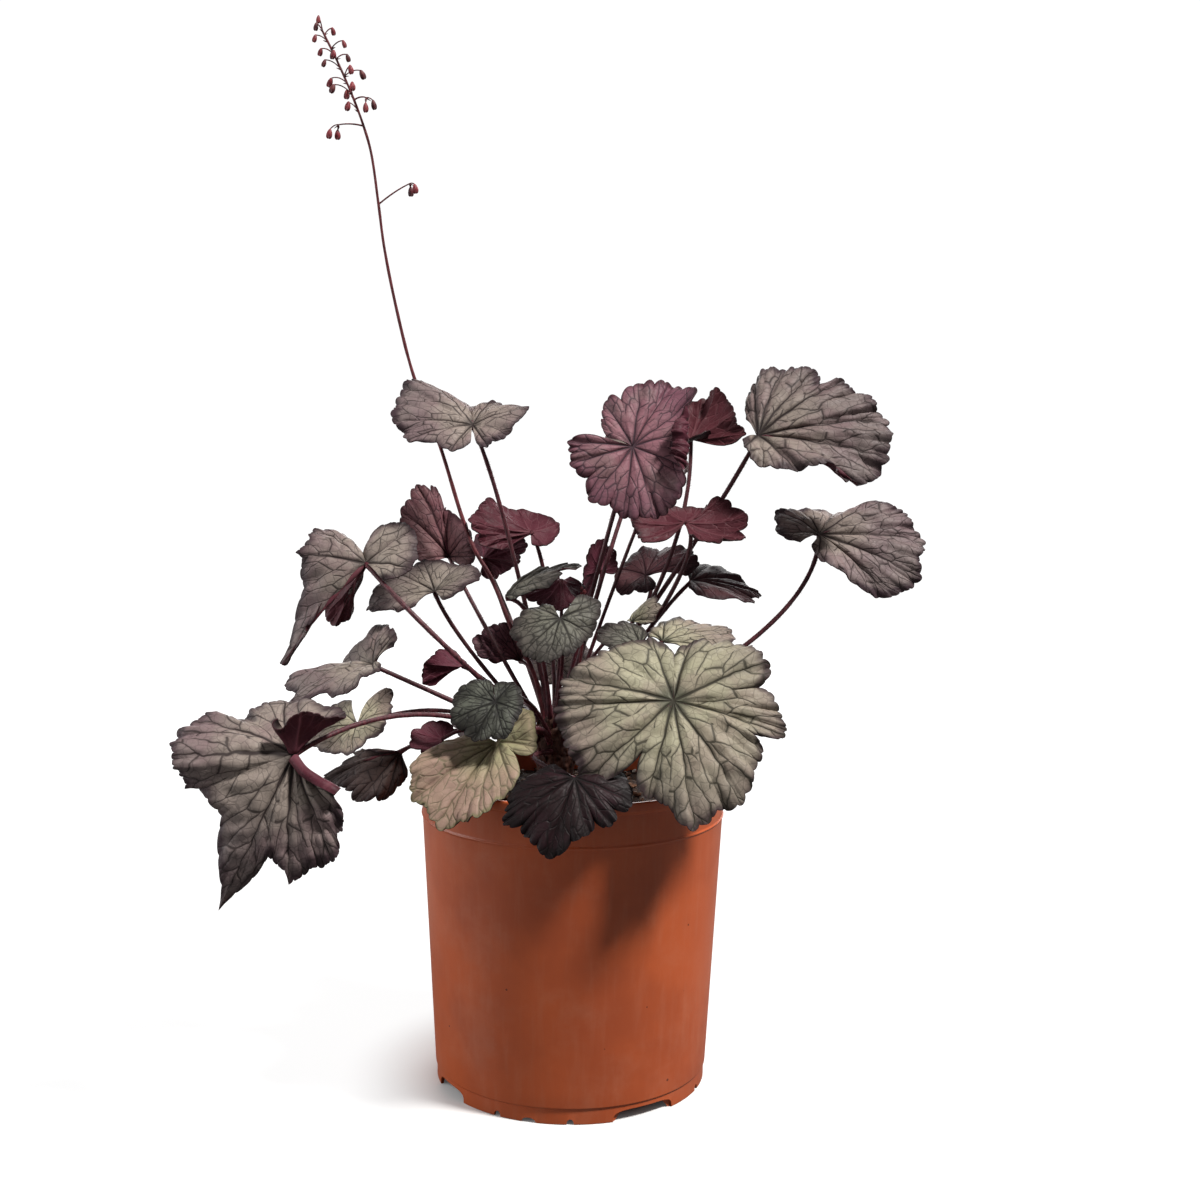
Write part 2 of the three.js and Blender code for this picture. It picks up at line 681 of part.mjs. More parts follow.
/**
 * Where the leaf stalks leave the crown: each starts out towards its bend, on the crown's dome, and
 * those closer than the spacing shoulder each other apart.
 */
function rootSpots(bends) {
  const centre = new THREE.Vector3(CROWN.x, CROWN.y, CROWN.middle);
  const radii = new THREE.Vector3(CROWN.radius, CROWN.radius, CROWN.rise);
  const settle = (spot) => {
    spot.z = Math.max(spot.z, -0.45 * CROWN.rise);
    return spot.divideScalar(spot.clone().divide(radii).length());
  };
  const spots = bends.map((bend) => settle(vector(bend).sub(centre)));
  for (let round = 0; round < ROOT_SHUFFLES; round += 1) {
    for (let i = 0; i < spots.length; i += 1) {
      for (let j = 0; j < i; j += 1) {
        const apart = spots[i].clone().sub(spots[j]);
        const shortfall = ROOT_SPACING - apart.length();
        if (shortfall > 0) {
          apart.setLength(0.25 * shortfall);
          settle(spots[i].add(apart));
          settle(spots[j].sub(apart));
        }
      }
    }
  }
  return spots.map((spot) => spot.add(centre));
}

/** A point just inside the crown, below a root. */
function insideCrown(root) {
  return vector([CROWN.x, CROWN.y, CROWN.middle]).lerp(root, 0.8);
}

/** A leaf: its blade fused to its stalk, which stops at the crown. */
function leafSolid(leaf, root, phase, clearOfCrown) {
  const longest = Math.max(...leaf.tips.map((tip) => vector(tip).length()));
  const size = LEAF_SIZES.find(({ reach }) => longest > reach);
  const curve = stalkCurve(insideCrown(root), leaf);
  const steps = Math.max(3, Math.round(curve.getLength() / STALK_STEP));
  const stalk = stalkSolid(curve, steps, STALK_SIDES, size.stalk, 0.85 * size.stalk, SWELLING);
  return bladeSolid(leaf, size, phase).add(stalk.subtract(clearOfCrown));
}

// ---- Flower stalks -----------------------------------------------------------------------------
/** A hanging bud: a narrow bell, its stalk end at the top. */
function budSolid(place, lean) {
  const { length, radius, facets } = BUD;
  const profile = [
    [0, -length / 2],
    [radius, -0.12 * length],
    [0.6 * radius, 0.36 * length],
    [0, length / 2],
  ].map(([r, z]) => new THREE.Vector2(r, z));
  const geometry = new THREE.LatheGeometry(profile, facets).rotateX(Math.PI / 2);
  geometry.rotateY(lean[0]).rotateX(lean[1]).translate(...place);
  return solidOf(geometry);
}

/** A bud on its own thin straight stalk, which leaves the flower stalk at the given point. */
function flowerSolid(from, place) {
  const top = [place[0], place[1], place[2] + 0.35 * BUD.length];
  const curve = new THREE.LineCurve3(vector(from), vector(top));
  const lean = [0.04 * (from[0] - place[0]), 0.04 * (place[1] - from[1])];
  return stalkSolid(curve, 1, 3, BUD.stalk, BUD.stalk).add(budSolid(place, lean));
}

/** The flower stalk with its buds and side branches. */
function spikeSolid(root, clearOfCrown) {
  const curve = new THREE.CatmullRomCurve3([root, ...SPIKE.path.map(vector)]);
  const { steps, sides, rootRadius, tipRadius } = SPIKE;
  let solid = stalkSolid(curve, steps, sides, rootRadius, tipRadius).subtract(clearOfCrown);
  const samples = curve.getSpacedPoints(240);
  for (const place of BUDS) {
    // the bud's stalk leaves the spike a little below the bud
    const level = place[2] - BUD.drop;
    const from = samples.reduce((best, point) =>
      (Math.abs(point.z - level) < Math.abs(best.z - level) ? point : best));
    solid = solid.add(flowerSolid(from.toArray(), place));
  }
  for (const { path, buds } of SPRAYS) {
    const branch = new THREE.QuadraticBezierCurve3(...path.map(vector));
    solid = solid.add(stalkSolid(branch, 3, 4, tipRadius, BUD.stalk));
    for (const place of buds) solid = solid.add(flowerSolid(path[2], place));
  }
  return solid;
}

/** A short flower stalk whose buds are still in a tight head. */
function youngSpikeSolid(root, clearOfCrown) {
  const draw = seededDraws(5);
  const { path, steps, radius, budsFrom, buds, spread } = YOUNG_SPIKE;
  const curve = new THREE.CatmullRomCurve3([root, ...path.map(vector)]);
  let solid = stalkSolid(curve, steps, 4, radius, 0.6 * radius).subtract(clearOfCrown);
  const goldenAngle = Math.PI * (3 - Math.sqrt(5));
  for (let bud = 0; bud < buds; bud += 1) {
    const up = bud / (buds - 1);
    const centre = curve.getPointAt(budsFrom + (1 - budsFrom) * up);
    const out = spread * (1 - 0.75 * up) * (0.8 + 0.4 * draw());
    const turn = goldenAngle * bud;
    const place = centre.clone().add(vector([out * Math.cos(turn), out * Math.sin(turn), 0.5]));
    const knob = new THREE.OctahedronGeometry(1.7, 0).translate(...place.toArray());
    const stalk = new THREE.LineCurve3(centre, place);
    solid = solid.add(solidOf(knob)).add(stalkSolid(stalk, 1, 3, BUD.stalk, BUD.stalk));
  }
  return solid;
}

// ---- Assembly ----------------------------------------------------------------------------------
const plant = new THREE.Group();
plant.add(meshOf('pot', potSolid(), MATERIALS.pot));
plant.add(meshOf('soil', soilSolid(), MATERIALS.soil));
plant.add(meshOf('crown', crownSolid(), MATERIALS.crown));

const crownWithClearance = crownSolid(GAP);
const firstBends = [SPIKE.path[0], YOUNG_SPIKE.path[0], ...Object.values(LEAVES).map((leaf) => leaf.bend)];
const [spikeRoot, youngSpikeRoot, ...leafRoots] = rootSpots(firstBends);
Object.entries(LEAVES).forEach(([name, leaf], index) => {
  const phase = 0.37 * index;
  const solid = leafSolid(leaf, leafRoots[index], phase, crownWithClearance);
  plant.add(meshOf(`leaf_${name}`, solid, MATERIALS[leaf.tone]));
});
const spike = spikeSolid(insideCrown(spikeRoot), crownWithClearance);
const youngSpike = youngSpikeSolid(insideCrown(youngSpikeRoot), crownWithClearance);
plant.add(meshOf('flower_spike', spike, MATERIALS.stalk));
plant.add(meshOf('young_spike', youngSpike, MATERIALS.stalk));

export default plant;
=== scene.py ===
"""Heuchera in its nursery pot: finishes and fine shapes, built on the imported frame.

Lengths in this file are in millimetres unless a name says otherwise, and meshes are written in metres.
Every leaf repeats the construction of its solid, on a finer grid: a hub, the bend of its stalk and the
ends of its main veins. +Z is up, and the origin is on the pot's axis in the plane of its foot.
"""

import logging
import math
from collections.abc import Callable
from dataclasses import dataclass
from enum import Enum

import bpy
import numpy as np
from mathutils import Matrix
from numpy.typing import NDArray


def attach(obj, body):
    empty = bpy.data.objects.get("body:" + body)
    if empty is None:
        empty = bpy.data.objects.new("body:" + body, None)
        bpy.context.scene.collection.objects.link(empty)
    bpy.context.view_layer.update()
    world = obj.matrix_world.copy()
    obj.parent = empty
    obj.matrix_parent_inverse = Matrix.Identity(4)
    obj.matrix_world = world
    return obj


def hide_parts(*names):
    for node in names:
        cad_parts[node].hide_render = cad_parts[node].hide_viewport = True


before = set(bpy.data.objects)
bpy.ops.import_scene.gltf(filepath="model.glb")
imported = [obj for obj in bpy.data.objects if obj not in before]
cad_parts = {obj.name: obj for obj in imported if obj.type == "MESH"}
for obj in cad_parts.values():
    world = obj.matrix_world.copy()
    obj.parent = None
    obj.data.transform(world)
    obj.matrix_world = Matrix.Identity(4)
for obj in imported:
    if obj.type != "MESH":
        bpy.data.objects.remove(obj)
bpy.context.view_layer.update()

LOG = logging.getLogger("heuchera")
MILLIMETRE = 0.001  # in metres
GAP = 0.3  # kept free round the compost
UP = np.array([0.0, 0.0, 1.0])
LEVEL = np.array([0.1, 0.99, 0.05])  # keeps the rings of rising tubes from twisting
MAPS = ("vein_map", "blade_map")

Points = NDArray[np.float64]
Numbers = NDArray[np.float64]
Indices = NDArray[np.int64]
Surface = tuple[Points, Indices]
Place = tuple[float, float, float]
Colour = tuple[float, float, float, float]
Socket = bpy.types.NodeSocket


# ---- Numbers and shapes ------------------------------------------------------------------------
def tint(code: int) -> Colour:
    """Linear colour of a six-digit hexadecimal screen colour, by the usual screen curve."""
    red, green, blue = (((code >> shift) & 255) / 255 for shift in (16, 8, 0))
    return (*(p / 12.92 if p <= 0.04045 else ((p + 0.055) / 1.055) ** 2.4 for p in (red, green, blue)), 1.0)


def unit(vectors: Points) -> Points:
    """The vectors at length one."""
    return vectors / np.maximum(np.linalg.norm(vectors, axis=-1, keepdims=True), 1e-9)


def ease(values: Numbers, start: float, end: float) -> Numbers:
    """Rises from 0 at start to 1 at end as 3 t squared minus 2 t cubed."""
    t = np.clip((values - start) / (end - start), 0.0, 1.0)
    return t * t * (3.0 - 2.0 * t)


def wobble(points: Points, wavelength: float, seed: int) -> Numbers:
    """Smooth random hills between about -1 and 1.

    The sum of seven sine waves of the position, each along its own random direction with a length near
    the wavelength, divided by the square root of seven.

    Args:
        points: Places to read the hills at.
        wavelength: Typical distance between two hills.
        seed: Seed of the directions and phases.

    Returns:
        One number for each point.
    """
    draw = np.random.default_rng(seed)
    headings = unit(draw.normal(size=(7, 3))) * (math.tau / wavelength) * draw.uniform(0.7, 1.4, (7, 1))
    waves = np.sin(points @ headings.T + draw.uniform(0, math.tau, 7))
    return waves.sum(axis=-1) / math.sqrt(7)


def catmull_rom(knots: Numbers, t: Numbers) -> tuple[Numbers, Numbers]:
    """Catmull-Rom blend of four knots, and its slope.

    Args:
        knots: Four values or vectors for each place, on the first axis.
        t: Part of the way from the second knot to the third.

    Returns:
        The blended values and their rate of change with t.
    """
    a, b, c, d = knots
    square = 2 * a - 5 * b + 4 * c - d
    cube = -a + 3 * b - 3 * c + d
    value = 0.5 * (2 * b + (c - a) * t + square * t**2 + cube * t**3)
    slope = 0.5 * (c - a + 2 * square * t + 3 * cube * t**2)
    return value, slope


def arc(start: Points, control: Points, end: Points, count: int) -> Points:
    """Places along the quadratic curve (1 - t)^2 start + 2 t (1 - t) control + t^2 end."""
    t = np.linspace(0, 1, count)[:, None]
    return (1 - t) ** 2 * start + 2 * t * (1 - t) * control + t**2 * end


def rings_round(centres: Points, radii: Numbers, along: Points, level: Points, sides: int,
                oval: float = 1.0) -> Points:
    """Rings of points round some centres, each square to its own direction.

    A point is centre + r (oval cos a side + sin a up), where side is the unit vector across both the
    direction and the level vector, and up is across the direction and side.

    Args:
        centres: Centres, m by 3.
        radii: Radius of each ring.
        along: The unit direction at each centre.
        level: A vector that isn't along any of them.
        sides: Points in a ring.
        oval: Width of a ring across its height.

    Returns:
        Points, m by sides by 3.
    """
    side = unit(np.cross(along, level))
    up = np.cross(side, along)
    angles = np.arange(sides) * (math.tau / sides)
    return centres[:, None] + radii[:, None, None] * (
        oval * np.cos(angles)[None, :, None] * side[:, None] + np.sin(angles)[None, :, None] * up[:, None])


def stand(name: str, data: bpy.types.ID) -> bpy.types.Object:
    """A new object in the scene.

    Args:
        name: Its name.
        data: Its mesh, light or camera.

    Returns:
        The object.
    """
    thing = bpy.data.objects.new(name, data)
    bpy.context.scene.collection.objects.link(thing)
    return thing


class Draft:
    """Collects the surfaces of one piece, and writes them as one mesh."""

    def __init__(self) -> None:
        """Starts empty."""
        self.points: list[Points] = []
        self.corners: list[Indices] = []
        self.sides: list[Indices] = []
        self.finishes: list[Indices] = []
        self.maps: list[Numbers] = []
        self.count = 0
        self.base = 0

    def add(self, points: Points, faces: Indices, finish: int, maps: Numbers | None = None) -> None:
        """Adds a surface.

        Args:
            points: Its points, n by 3.
            faces: Its faces, k by 3 or k by 4 point numbers.
            finish: Number of its material on the piece.
            maps: Four numbers for every corner of every face: its vein map and its blade map.
        """
        flat = faces.reshape(-1)
        self.base = self.count
        self.points.append(points)
        self.corners.append(flat + self.count)
        self.sides.append(np.full(len(faces), faces.shape[1]))
        self.finishes.append(np.full(len(faces), finish))
        self.maps.append(np.zeros((len(flat), 4)) if maps is None else maps.reshape(-1, 4))
        self.count += len(points)

    def join(self, faces: Indices, finish: int, maps: Numbers) -> None:
        """Adds faces between the points of the surface that was added last.

        Args:
            faces: Their point numbers in that surface.
            finish: Number of their material on the piece.
            maps: Four numbers for every corner of every face.
        """
        count, self.count = self.count, self.base
        self.add(np.zeros((0, 3)), faces, finish, maps)
        self.count = count

    def extend(self, surface: Surface, finish: int) -> None:
        """Adds a surface given as points and faces."""
        self.add(*surface, finish)

    def piece(self, name: str, finishes: list[bpy.types.Material], slot: str, *nodes: str,
              sharp: float = 50.0) -> bpy.types.Object:
        """Writes the mesh and stands it in for CAD nodes.

        Args:
            name: Name of the object.
            finishes: Its materials, in the order of the surfaces' numbers.
            slot: Name of a material slot. Not used.
            *nodes: The CAD nodes it replaces.
            sharp: Edges that turn by more than this, in degrees, stay sharp.

        Returns:
            The new object, riding on the root body.
        """
        mesh = bpy.data.meshes.new(name)
        points = np.concatenate(self.points) * MILLIMETRE
        corners = np.concatenate(self.corners)
        sides = np.concatenate(self.sides)
        mesh.vertices.add(len(points))
        mesh.vertices.foreach_set("co", points.ravel().astype(np.float32))
        mesh.loops.add(len(corners))
        mesh.loops.foreach_set("vertex_index", corners.astype(np.int32))
        mesh.polygons.add(len(sides))
        starts = np.concatenate([[0], np.cumsum(sides)[:-1]])
        mesh.polygons.foreach_set("loop_start", starts.astype(np.int32))
        mesh.polygons.foreach_set("material_index", np.concatenate(self.finishes).astype(np.int32))
        maps = np.concatenate(self.maps).astype(np.float32)
        for first, label in enumerate(MAPS if maps.any() else ()):
            mesh.uv_layers.new(name=label).data.foreach_set("uv", maps[:, 2 * first:2 * first + 2].ravel())
        for finish in finishes:
            mesh.materials.append(finish)
        mesh.update(calc_edges=True)
        mesh.shade_smooth()
        mesh.set_sharp_from_angle(angle=math.radians(sharp))
        piece = stand(name, mesh)
        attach(piece, "root")
        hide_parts(*nodes)
        LOG.info("%s: %d triangles", name, int((sides - 2).sum()))
        return piece


def grid_faces(rows: int, columns: int, closed: bool = False) -> Indices:
    """Quads of a grid of points numbered row by row.

    Args:
        rows: Number of rows of points.
        columns: Number of points in a row.
        closed: True if the last point of a row joins its first.

    Returns:
        Faces that turn from a row to the next, then along it.
    """
    row, column = np.meshgrid(np.arange(rows - 1), np.arange(columns if closed else columns - 1), indexing="ij")
    after = (column + 1) % columns
    faces = [row * columns + column, row * columns + after, (row + 1) * columns + after, (row + 1) * columns + column]
    return np.stack(faces, axis=-1).reshape(-1, 4)


def ring_faces(rows: int, sides: int, flipped: bool = False) -> Indices:
    """Triangles of closed rings of points numbered ring by ring, with a pole at each end, numbered last.

    Args:
        rows: Number of rings.
        sides: Number of points in a ring.
        flipped: True if the rings run the other way round.

    Returns:
        The triangles.
    """
    here = np.arange(sides)
    after = (here + 1) % sides
    last = (rows - 1) * sides
    body = grid_faces(rows, sides, closed=True)
    bottom = np.stack([np.full(sides, rows * sides), after, here], axis=-1)
    top = np.stack([np.full(sides, rows * sides + 1), last + here, last + after], axis=-1)
    if flipped:
        body, bottom, top = body[:, ::-1], bottom[:, [0, 2, 1]], top[:, [0, 2, 1]]
    return pack_faces(body, bottom, top)


def turned(profile: Points, sides: int, shape: Callable[[Points, Numbers], Points] | None = None) -> Surface:
    """A solid turned about Z, closed by a pole at each end of its profile.

    The point at angle a and profile place k is (r_k cos a, r_k sin a, z_k). The profile runs so that the
    outside is on the right of the way from its first point to its last.

    Args:
        profile: Radius and height of each place, k by 2, both ends on the axis.
        sides: Number of angles.
        shape: Optional function of the rings' points and their angles that moves the points.

    Returns:
        Points and faces.
    """
    angles = np.arange(sides) * (math.tau / sides)
    radius, height = profile[1:-1, 0][:, None], profile[1:-1, 1][:, None]
    ring = np.stack([radius * np.cos(angles), radius * np.sin(angles), height + 0 * angles], axis=-1)
    if shape is not None:
        ring = shape(ring, angles)
    points = np.concatenate([ring.reshape(-1, 3), [[0, 0, profile[0, 1]], [0, 0, profile[-1, 1]]]])
    return points, ring_faces(len(ring), sides)

def pack_faces(quads: Indices, *triangles: Indices) -> Indices:
    """All the faces as triangles, so that one array holds them."""
    halves = [quads[:, [0, 1, 2]], quads[:, [0, 2, 3]]]
    return np.concatenate([*halves, *triangles])


def tube(path: Points, radii: Numbers, sides: int, level: Points, oval: float = 1.0) -> Surface:
    """A round tube along a path: rings_round() it, closed by a pole at each end.

    Args:
        path: Centres, m by 3.
        radii: Radius at each centre.
        sides: Points round the tube.
        level: A vector, never along the path, that keeps the rings from twisting.
        oval: Width of the ring across its height.

    Returns:
        Points and faces.
    """
    tangent = unit(np.gradient(path, axis=0))
    ring = rings_round(path, radii, tangent, level, sides, oval)
    ends = np.stack([path[0] - 0.4 * radii[0] * tangent[0], path[-1] + 0.4 * radii[-1] * tangent[-1]])
    return np.concatenate([ring.reshape(-1, 3), ends]), ring_faces(len(path), sides, flipped=True)


def spikes(roots: Points, tips: Points, width: Numbers, level: Points) -> Surface:
    """Many thin three-sided spikes, each a closed tetrahedron from a root to a tip.

    Args:
        roots: Middles of the feet, k by 3.
        tips: Points, k by 3.
        width: Radius of each foot.
        level: Any vector that isn't along the spikes.

    Returns:
        Points and faces.
    """
    feet = rings_round(roots, width, unit(tips - roots), level, 3)
    points = np.concatenate([feet, tips[:, None]], axis=1).reshape(-1, 3)
    one = np.array([[0, 3, 1], [1, 3, 2], [2, 3, 0], [0, 1, 2]])
    return points, (np.arange(len(roots))[:, None, None] * 4 + one).reshape(-1, 3)


def hairs(path: Points, radii: Numbers, count: int, length: float, thickness: float, seed: int) -> Surface:
    """Fine hairs that stand off a tube.

    Args:
        path: The tube's centres.
        radii: Its radius at each centre.
        count: Number of hairs.
        length: Mean length of a hair.
        thickness: Radius of a hair's foot.
        seed: Seed of the places.

    Returns:
        Points and faces.
    """
    draw = np.random.default_rng(seed)
    along = draw.uniform(0.02, 0.98, count) * (len(path) - 1)
    step = np.floor(along).astype(int)
    part = (along - step)[:, None]
    centre = path[step] * (1 - part) + path[step + 1] * part
    radius = radii[step] * (1 - part[:, 0]) + radii[step + 1] * part[:, 0]
    tangent = unit(path[step + 1] - path[step])
    outward = draw.normal(size=(count, 3))
    outward = unit(outward - (outward * tangent).sum(axis=1, keepdims=True) * tangent)
    lean = outward + tangent * draw.uniform(-0.35, 0.35, (count, 1))
    roots = centre + outward * (0.9 * radius[:, None])
    tips = roots + unit(lean) * length * draw.uniform(0.5, 1.3, (count, 1))
    return spikes(roots, tips, np.full(count, thickness), np.array([0.13, 0.57, 0.81]))


# ---- Finishes ----------------------------------------------------------------------------------
class Wiring:
    """Adds shader nodes to a tree, and joins them."""

    def __init__(self, tree: bpy.types.NodeTree) -> None:
        """Works on one tree."""
        self.tree = tree

    def feed(self, socket: Socket, source: object) -> None:
        """Links a socket to a source, or sets it to a value."""
        if isinstance(source, Socket):
            self.tree.links.new(source, socket)
        else:
            socket.default_value = source

    def node(self, kind: str, sources: dict | None = None, **settings: object) -> bpy.types.Node:
        """A new node.

        Args:
            kind: Its type.
            sources: What feeds its inputs, by their names or numbers.
            **settings: Its settings.

        Returns:
            The node.
        """
        node = self.tree.nodes.new(kind)
        for key, value in settings.items():
            setattr(node, key, value)
        for key, source in (sources or {}).items():
            self.feed(node.inputs[key], source)
        return node

    def math(self, operation: str, *terms: object) -> Socket:
        """The result of a Math node."""
        return self.node("ShaderNodeMath", dict(enumerate(terms)), operation=operation).outputs[0]

    def times(self, first: object, second: object) -> Socket:
        """The product of two terms."""
        return self.math("MULTIPLY", first, second)

    def plus(self, first: object, second: object) -> Socket:
        """The sum of two terms."""
        return self.math("ADD", first, second)

    def fade(self, value: object, low: object, high: object, start: object = 0.0, end: object = 1.0) -> Socket:
        """Goes smoothly from start, where the value is low, to end, where it is high."""
        sources = dict(enumerate((value, low, high, start, end)))
        return self.node("ShaderNodeMapRange", sources, interpolation_type="SMOOTHSTEP").outputs[0]

    def mix(self, part: object, first: object, second: object) -> Socket:
        """Two colours mixed."""
        return self.node("ShaderNodeMix", {0: part, 6: first, 7: second}, data_type="RGBA").outputs[2]

    def coordinates(self, scale: Place = (1.0, 1.0, 1.0)) -> Socket:
        """Object coordinates, stretched."""
        place = self.node("ShaderNodeTexCoord").outputs["Object"]
        return self.node("ShaderNodeMapping", {"Vector": place, "Scale": scale}).outputs[0]

    def noise(self, place: Socket, size: float, detail: float = 3.0, rough: float = 0.5, output: int = 0) -> Socket:
        """Noise whose features are about a size across, in millimetres: output 0 is grey, and 1 coloured."""
        sources = {"Vector": place, "Scale": 1000.0 / size, "Detail": detail, "Roughness": rough}
        return self.node("ShaderNodeTexNoise", sources).outputs[output]

    def cells(self, place: Socket, size: float) -> Socket:
        """Distance to the edges of cells about a size across, in millimetres, as a part of their size."""
        sources = {"Vector": place, "Scale": 1000.0 / size}
        return self.node("ShaderNodeTexVoronoi", sources, feature="DISTANCE_TO_EDGE").outputs["Distance"]


class Pattern:
    """A shader node group with named inputs that gives a colour, a height and a roughness."""

    def __init__(self, name: str, inputs: dict[str, object]) -> None:
        """Makes the group.

        Args:
            name: Its name.
            inputs: Its inputs, with the values that they start with.
        """
        self.tree = bpy.data.node_groups.new(name, "ShaderNodeTree")
        for label, value in inputs.items():
            kind = "NodeSocketColor" if isinstance(value, tuple) else "NodeSocketFloat"
            self.tree.interface.new_socket(name=label, in_out="INPUT", socket_type=kind).default_value = value
        for label, kind in (("Colour", "Color"), ("Height", "Float"), ("Roughness", "Float")):
            self.tree.interface.new_socket(name=label, in_out="OUTPUT", socket_type=f"NodeSocket{kind}")
        self.wiring = Wiring(self.tree)
        self.inputs = self.wiring.node("NodeGroupInput").outputs

    def give(self, colour: Socket, height: Socket, roughness: Socket) -> None:
        """Sets what the group gives."""
        self.wiring.node("NodeGroupOutput", {"Colour": colour, "Height": height, "Roughness": roughness})


def leaf_pattern() -> None:
    """Colour and relief of a leaf blade, from its two maps.

    A is how far out a place is along the nearest main vein, and B how far it lies beside that vein, as
    parts of the leaf's measure. Main veins are where B is near 0. Side veins are the edges of cells
    scattered over (A - 1.15 B) / 0.23 and B / 0.21, and thin away from the main vein. The finest net is the
    edges of small cells.
    """
    shape = Pattern("leaf_pattern", {
        "Panel": tint(0xA8A698), "Outer": tint(0x95898A), "Vein": tint(0x45423F), "Edge": tint(0x4A343A),
        "Flush": tint(0x8C6F76), "Hub": tint(0x6E7064), "Vein width": 1.0, "Net": 0.5, "Edge width": 0.12,
        "Mottle": 0.5, "Halo": 0.5})
    w, given = shape.wiring, shape.inputs
    place = w.coordinates()
    vein_map, blade_map = (
        w.node("ShaderNodeSeparateXYZ", {0: w.node("ShaderNodeUVMap", uv_map=label).outputs[0]}).outputs
        for label in MAPS)
    drift = w.math("SUBTRACT", w.noise(place, 8, 2), 0.5)
    wander = w.math("SUBTRACT", w.noise(place, 20, 3), 0.5)
    along = vein_map[0]
    beside = w.plus(vein_map[1], w.times(wander, w.times(along, 0.18)))
    aside = w.math("ABSOLUTE", beside)
    margin, leaf = blade_map[0], blade_map[1]

    # main veins, wide at the hub and thin at the margin
    width = w.times(w.fade(along, 0.0, 0.9, 0.0098, 0.0032), given["Vein width"])
    main = w.fade(aside, w.times(width, 0.4), w.times(width, 1.4), 1.0, 0.0)
    main_glow = w.fade(aside, w.times(width, 0.5), w.plus(width, 0.018), 1.0, 0.0)

    # side veins, the edges of long cells that lie slantwise beside the main veins
    slope, cell_length, cell_width = 1.15, 0.23, 0.21
    slant = w.math("SUBTRACT", along, w.times(aside, slope))
    slant = w.plus(slant, w.times(drift, 0.05))
    slant = w.plus(w.times(slant, 1 / cell_length), w.times(w.math("SIGN", beside), 7.3))
    slant = w.plus(slant, w.times(leaf, 90.0))
    level = w.plus(w.times(aside, 1 / cell_width), 0.33)
    spread = w.node("ShaderNodeCombineXYZ", {0: slant, 1: level})
    long_cells = w.node(
        "ShaderNodeTexVoronoi", {"Vector": spread.outputs[0], "Scale": 1.0, "Randomness": 0.66},
        feature="DISTANCE_TO_EDGE", voronoi_dimensions="2D")
    off = w.times(long_cells.outputs["Distance"], 0.17)
    side_width = w.times(w.fade(aside, 0.0, 0.3, 0.0062, 0.0034), given["Vein width"])
    started = w.fade(along, 0.1, 0.26, 0.0, 0.85)
    side = w.times(w.fade(off, w.times(side_width, 0.3), w.times(side_width, 1.3), 1.0, 0.0), started)
    side_glow = w.times(w.fade(off, w.times(side_width, 0.5), w.times(side_width, 3.0), 1.0, 0.0), started)

    # the finest net of veins
    push = w.node("ShaderNodeVectorMath", {0: w.noise(place, 6, 2, output=1), "Scale": 0.0024}, operation="SCALE")
    bent = w.node("ShaderNodeVectorMath", {0: place, 1: push.outputs[0]}, operation="ADD").outputs[0]
    net = w.fade(w.cells(bent, 5.2), 0.01, 0.08, 1.0, 0.0)
    fine_net = w.fade(w.cells(bent, 1.9), 0.02, 0.16, 0.25, 0.0)

    glow = w.math("MAXIMUM", main_glow, side_glow)
    fine = w.times(w.math("MAXIMUM", net, fine_net), given["Net"])
    lines = w.math("MAXIMUM", w.math("MAXIMUM", main, side), fine)

    # ground colour: paler panels inside, another tone outside, a flush in patches, and a dark margin
    patches = w.noise(place, 24, 3, 0.6)
    ground = w.mix(w.fade(along, 0.25, 0.85), given["Panel"], given["Outer"])
    ground = w.mix(w.times(w.fade(patches, 0.42, 0.66), given["Mottle"]), ground, given["Flush"])
    speckle = w.noise(place, 1.5, 3, 0.65)
    ground = w.mix(w.fade(speckle, 0.3, 0.75, 0.0, 0.24), ground, w.mix(0.5, ground, given["Vein"]))
    ground = w.mix(w.times(glow, given["Halo"]), ground, w.mix(0.3, given["Vein"], ground))
    hub = w.plus(w.math("POWER", along, 2.0), w.math("POWER", aside, 2.0))
    ground = w.mix(w.fade(hub, 0.0005, 0.03, 0.8, 0.0), ground, given["Hub"])
    ragged = w.plus(margin, w.times(drift, w.times(given["Edge width"], 1.3)))
    ragged = w.plus(ragged, w.times(wander, w.times(given["Edge width"], 2.2)))
    ground = w.mix(w.fade(ragged, 0.0, given["Edge width"], 0.92, 0.0), ground, given["Edge"])
    colour = w.mix(w.times(lines, 0.96), ground, given["Vein"])
    colour = w.mix(w.fade(margin, 0.0, 0.010, 0.75, 0.0), colour, w.mix(0.6, given["Edge"], tint(0x1E0F12)))
    tone = w.node("ShaderNodeHueSaturation", {
        "Hue": w.fade(leaf, 0.0, 1.0, 0.492, 0.508), "Value": w.fade(leaf, 0.0, 1.0, 1.06, 0.94), "Color": colour})

    relief = w.math("SUBTRACT", w.times(w.noise(place, 3.4, 3), 0.35), w.times(lines, 0.6))
    relief = w.plus(relief, w.times(w.noise(place, 0.8, 2), 0.12))
    relief = w.math("SUBTRACT", relief, w.times(glow, 0.5))
    roughness = w.plus(w.fade(speckle, 0.3, 0.7, 0.50, 0.66), w.times(lines, 0.08))
    shape.give(tone.outputs[0], relief, roughness)


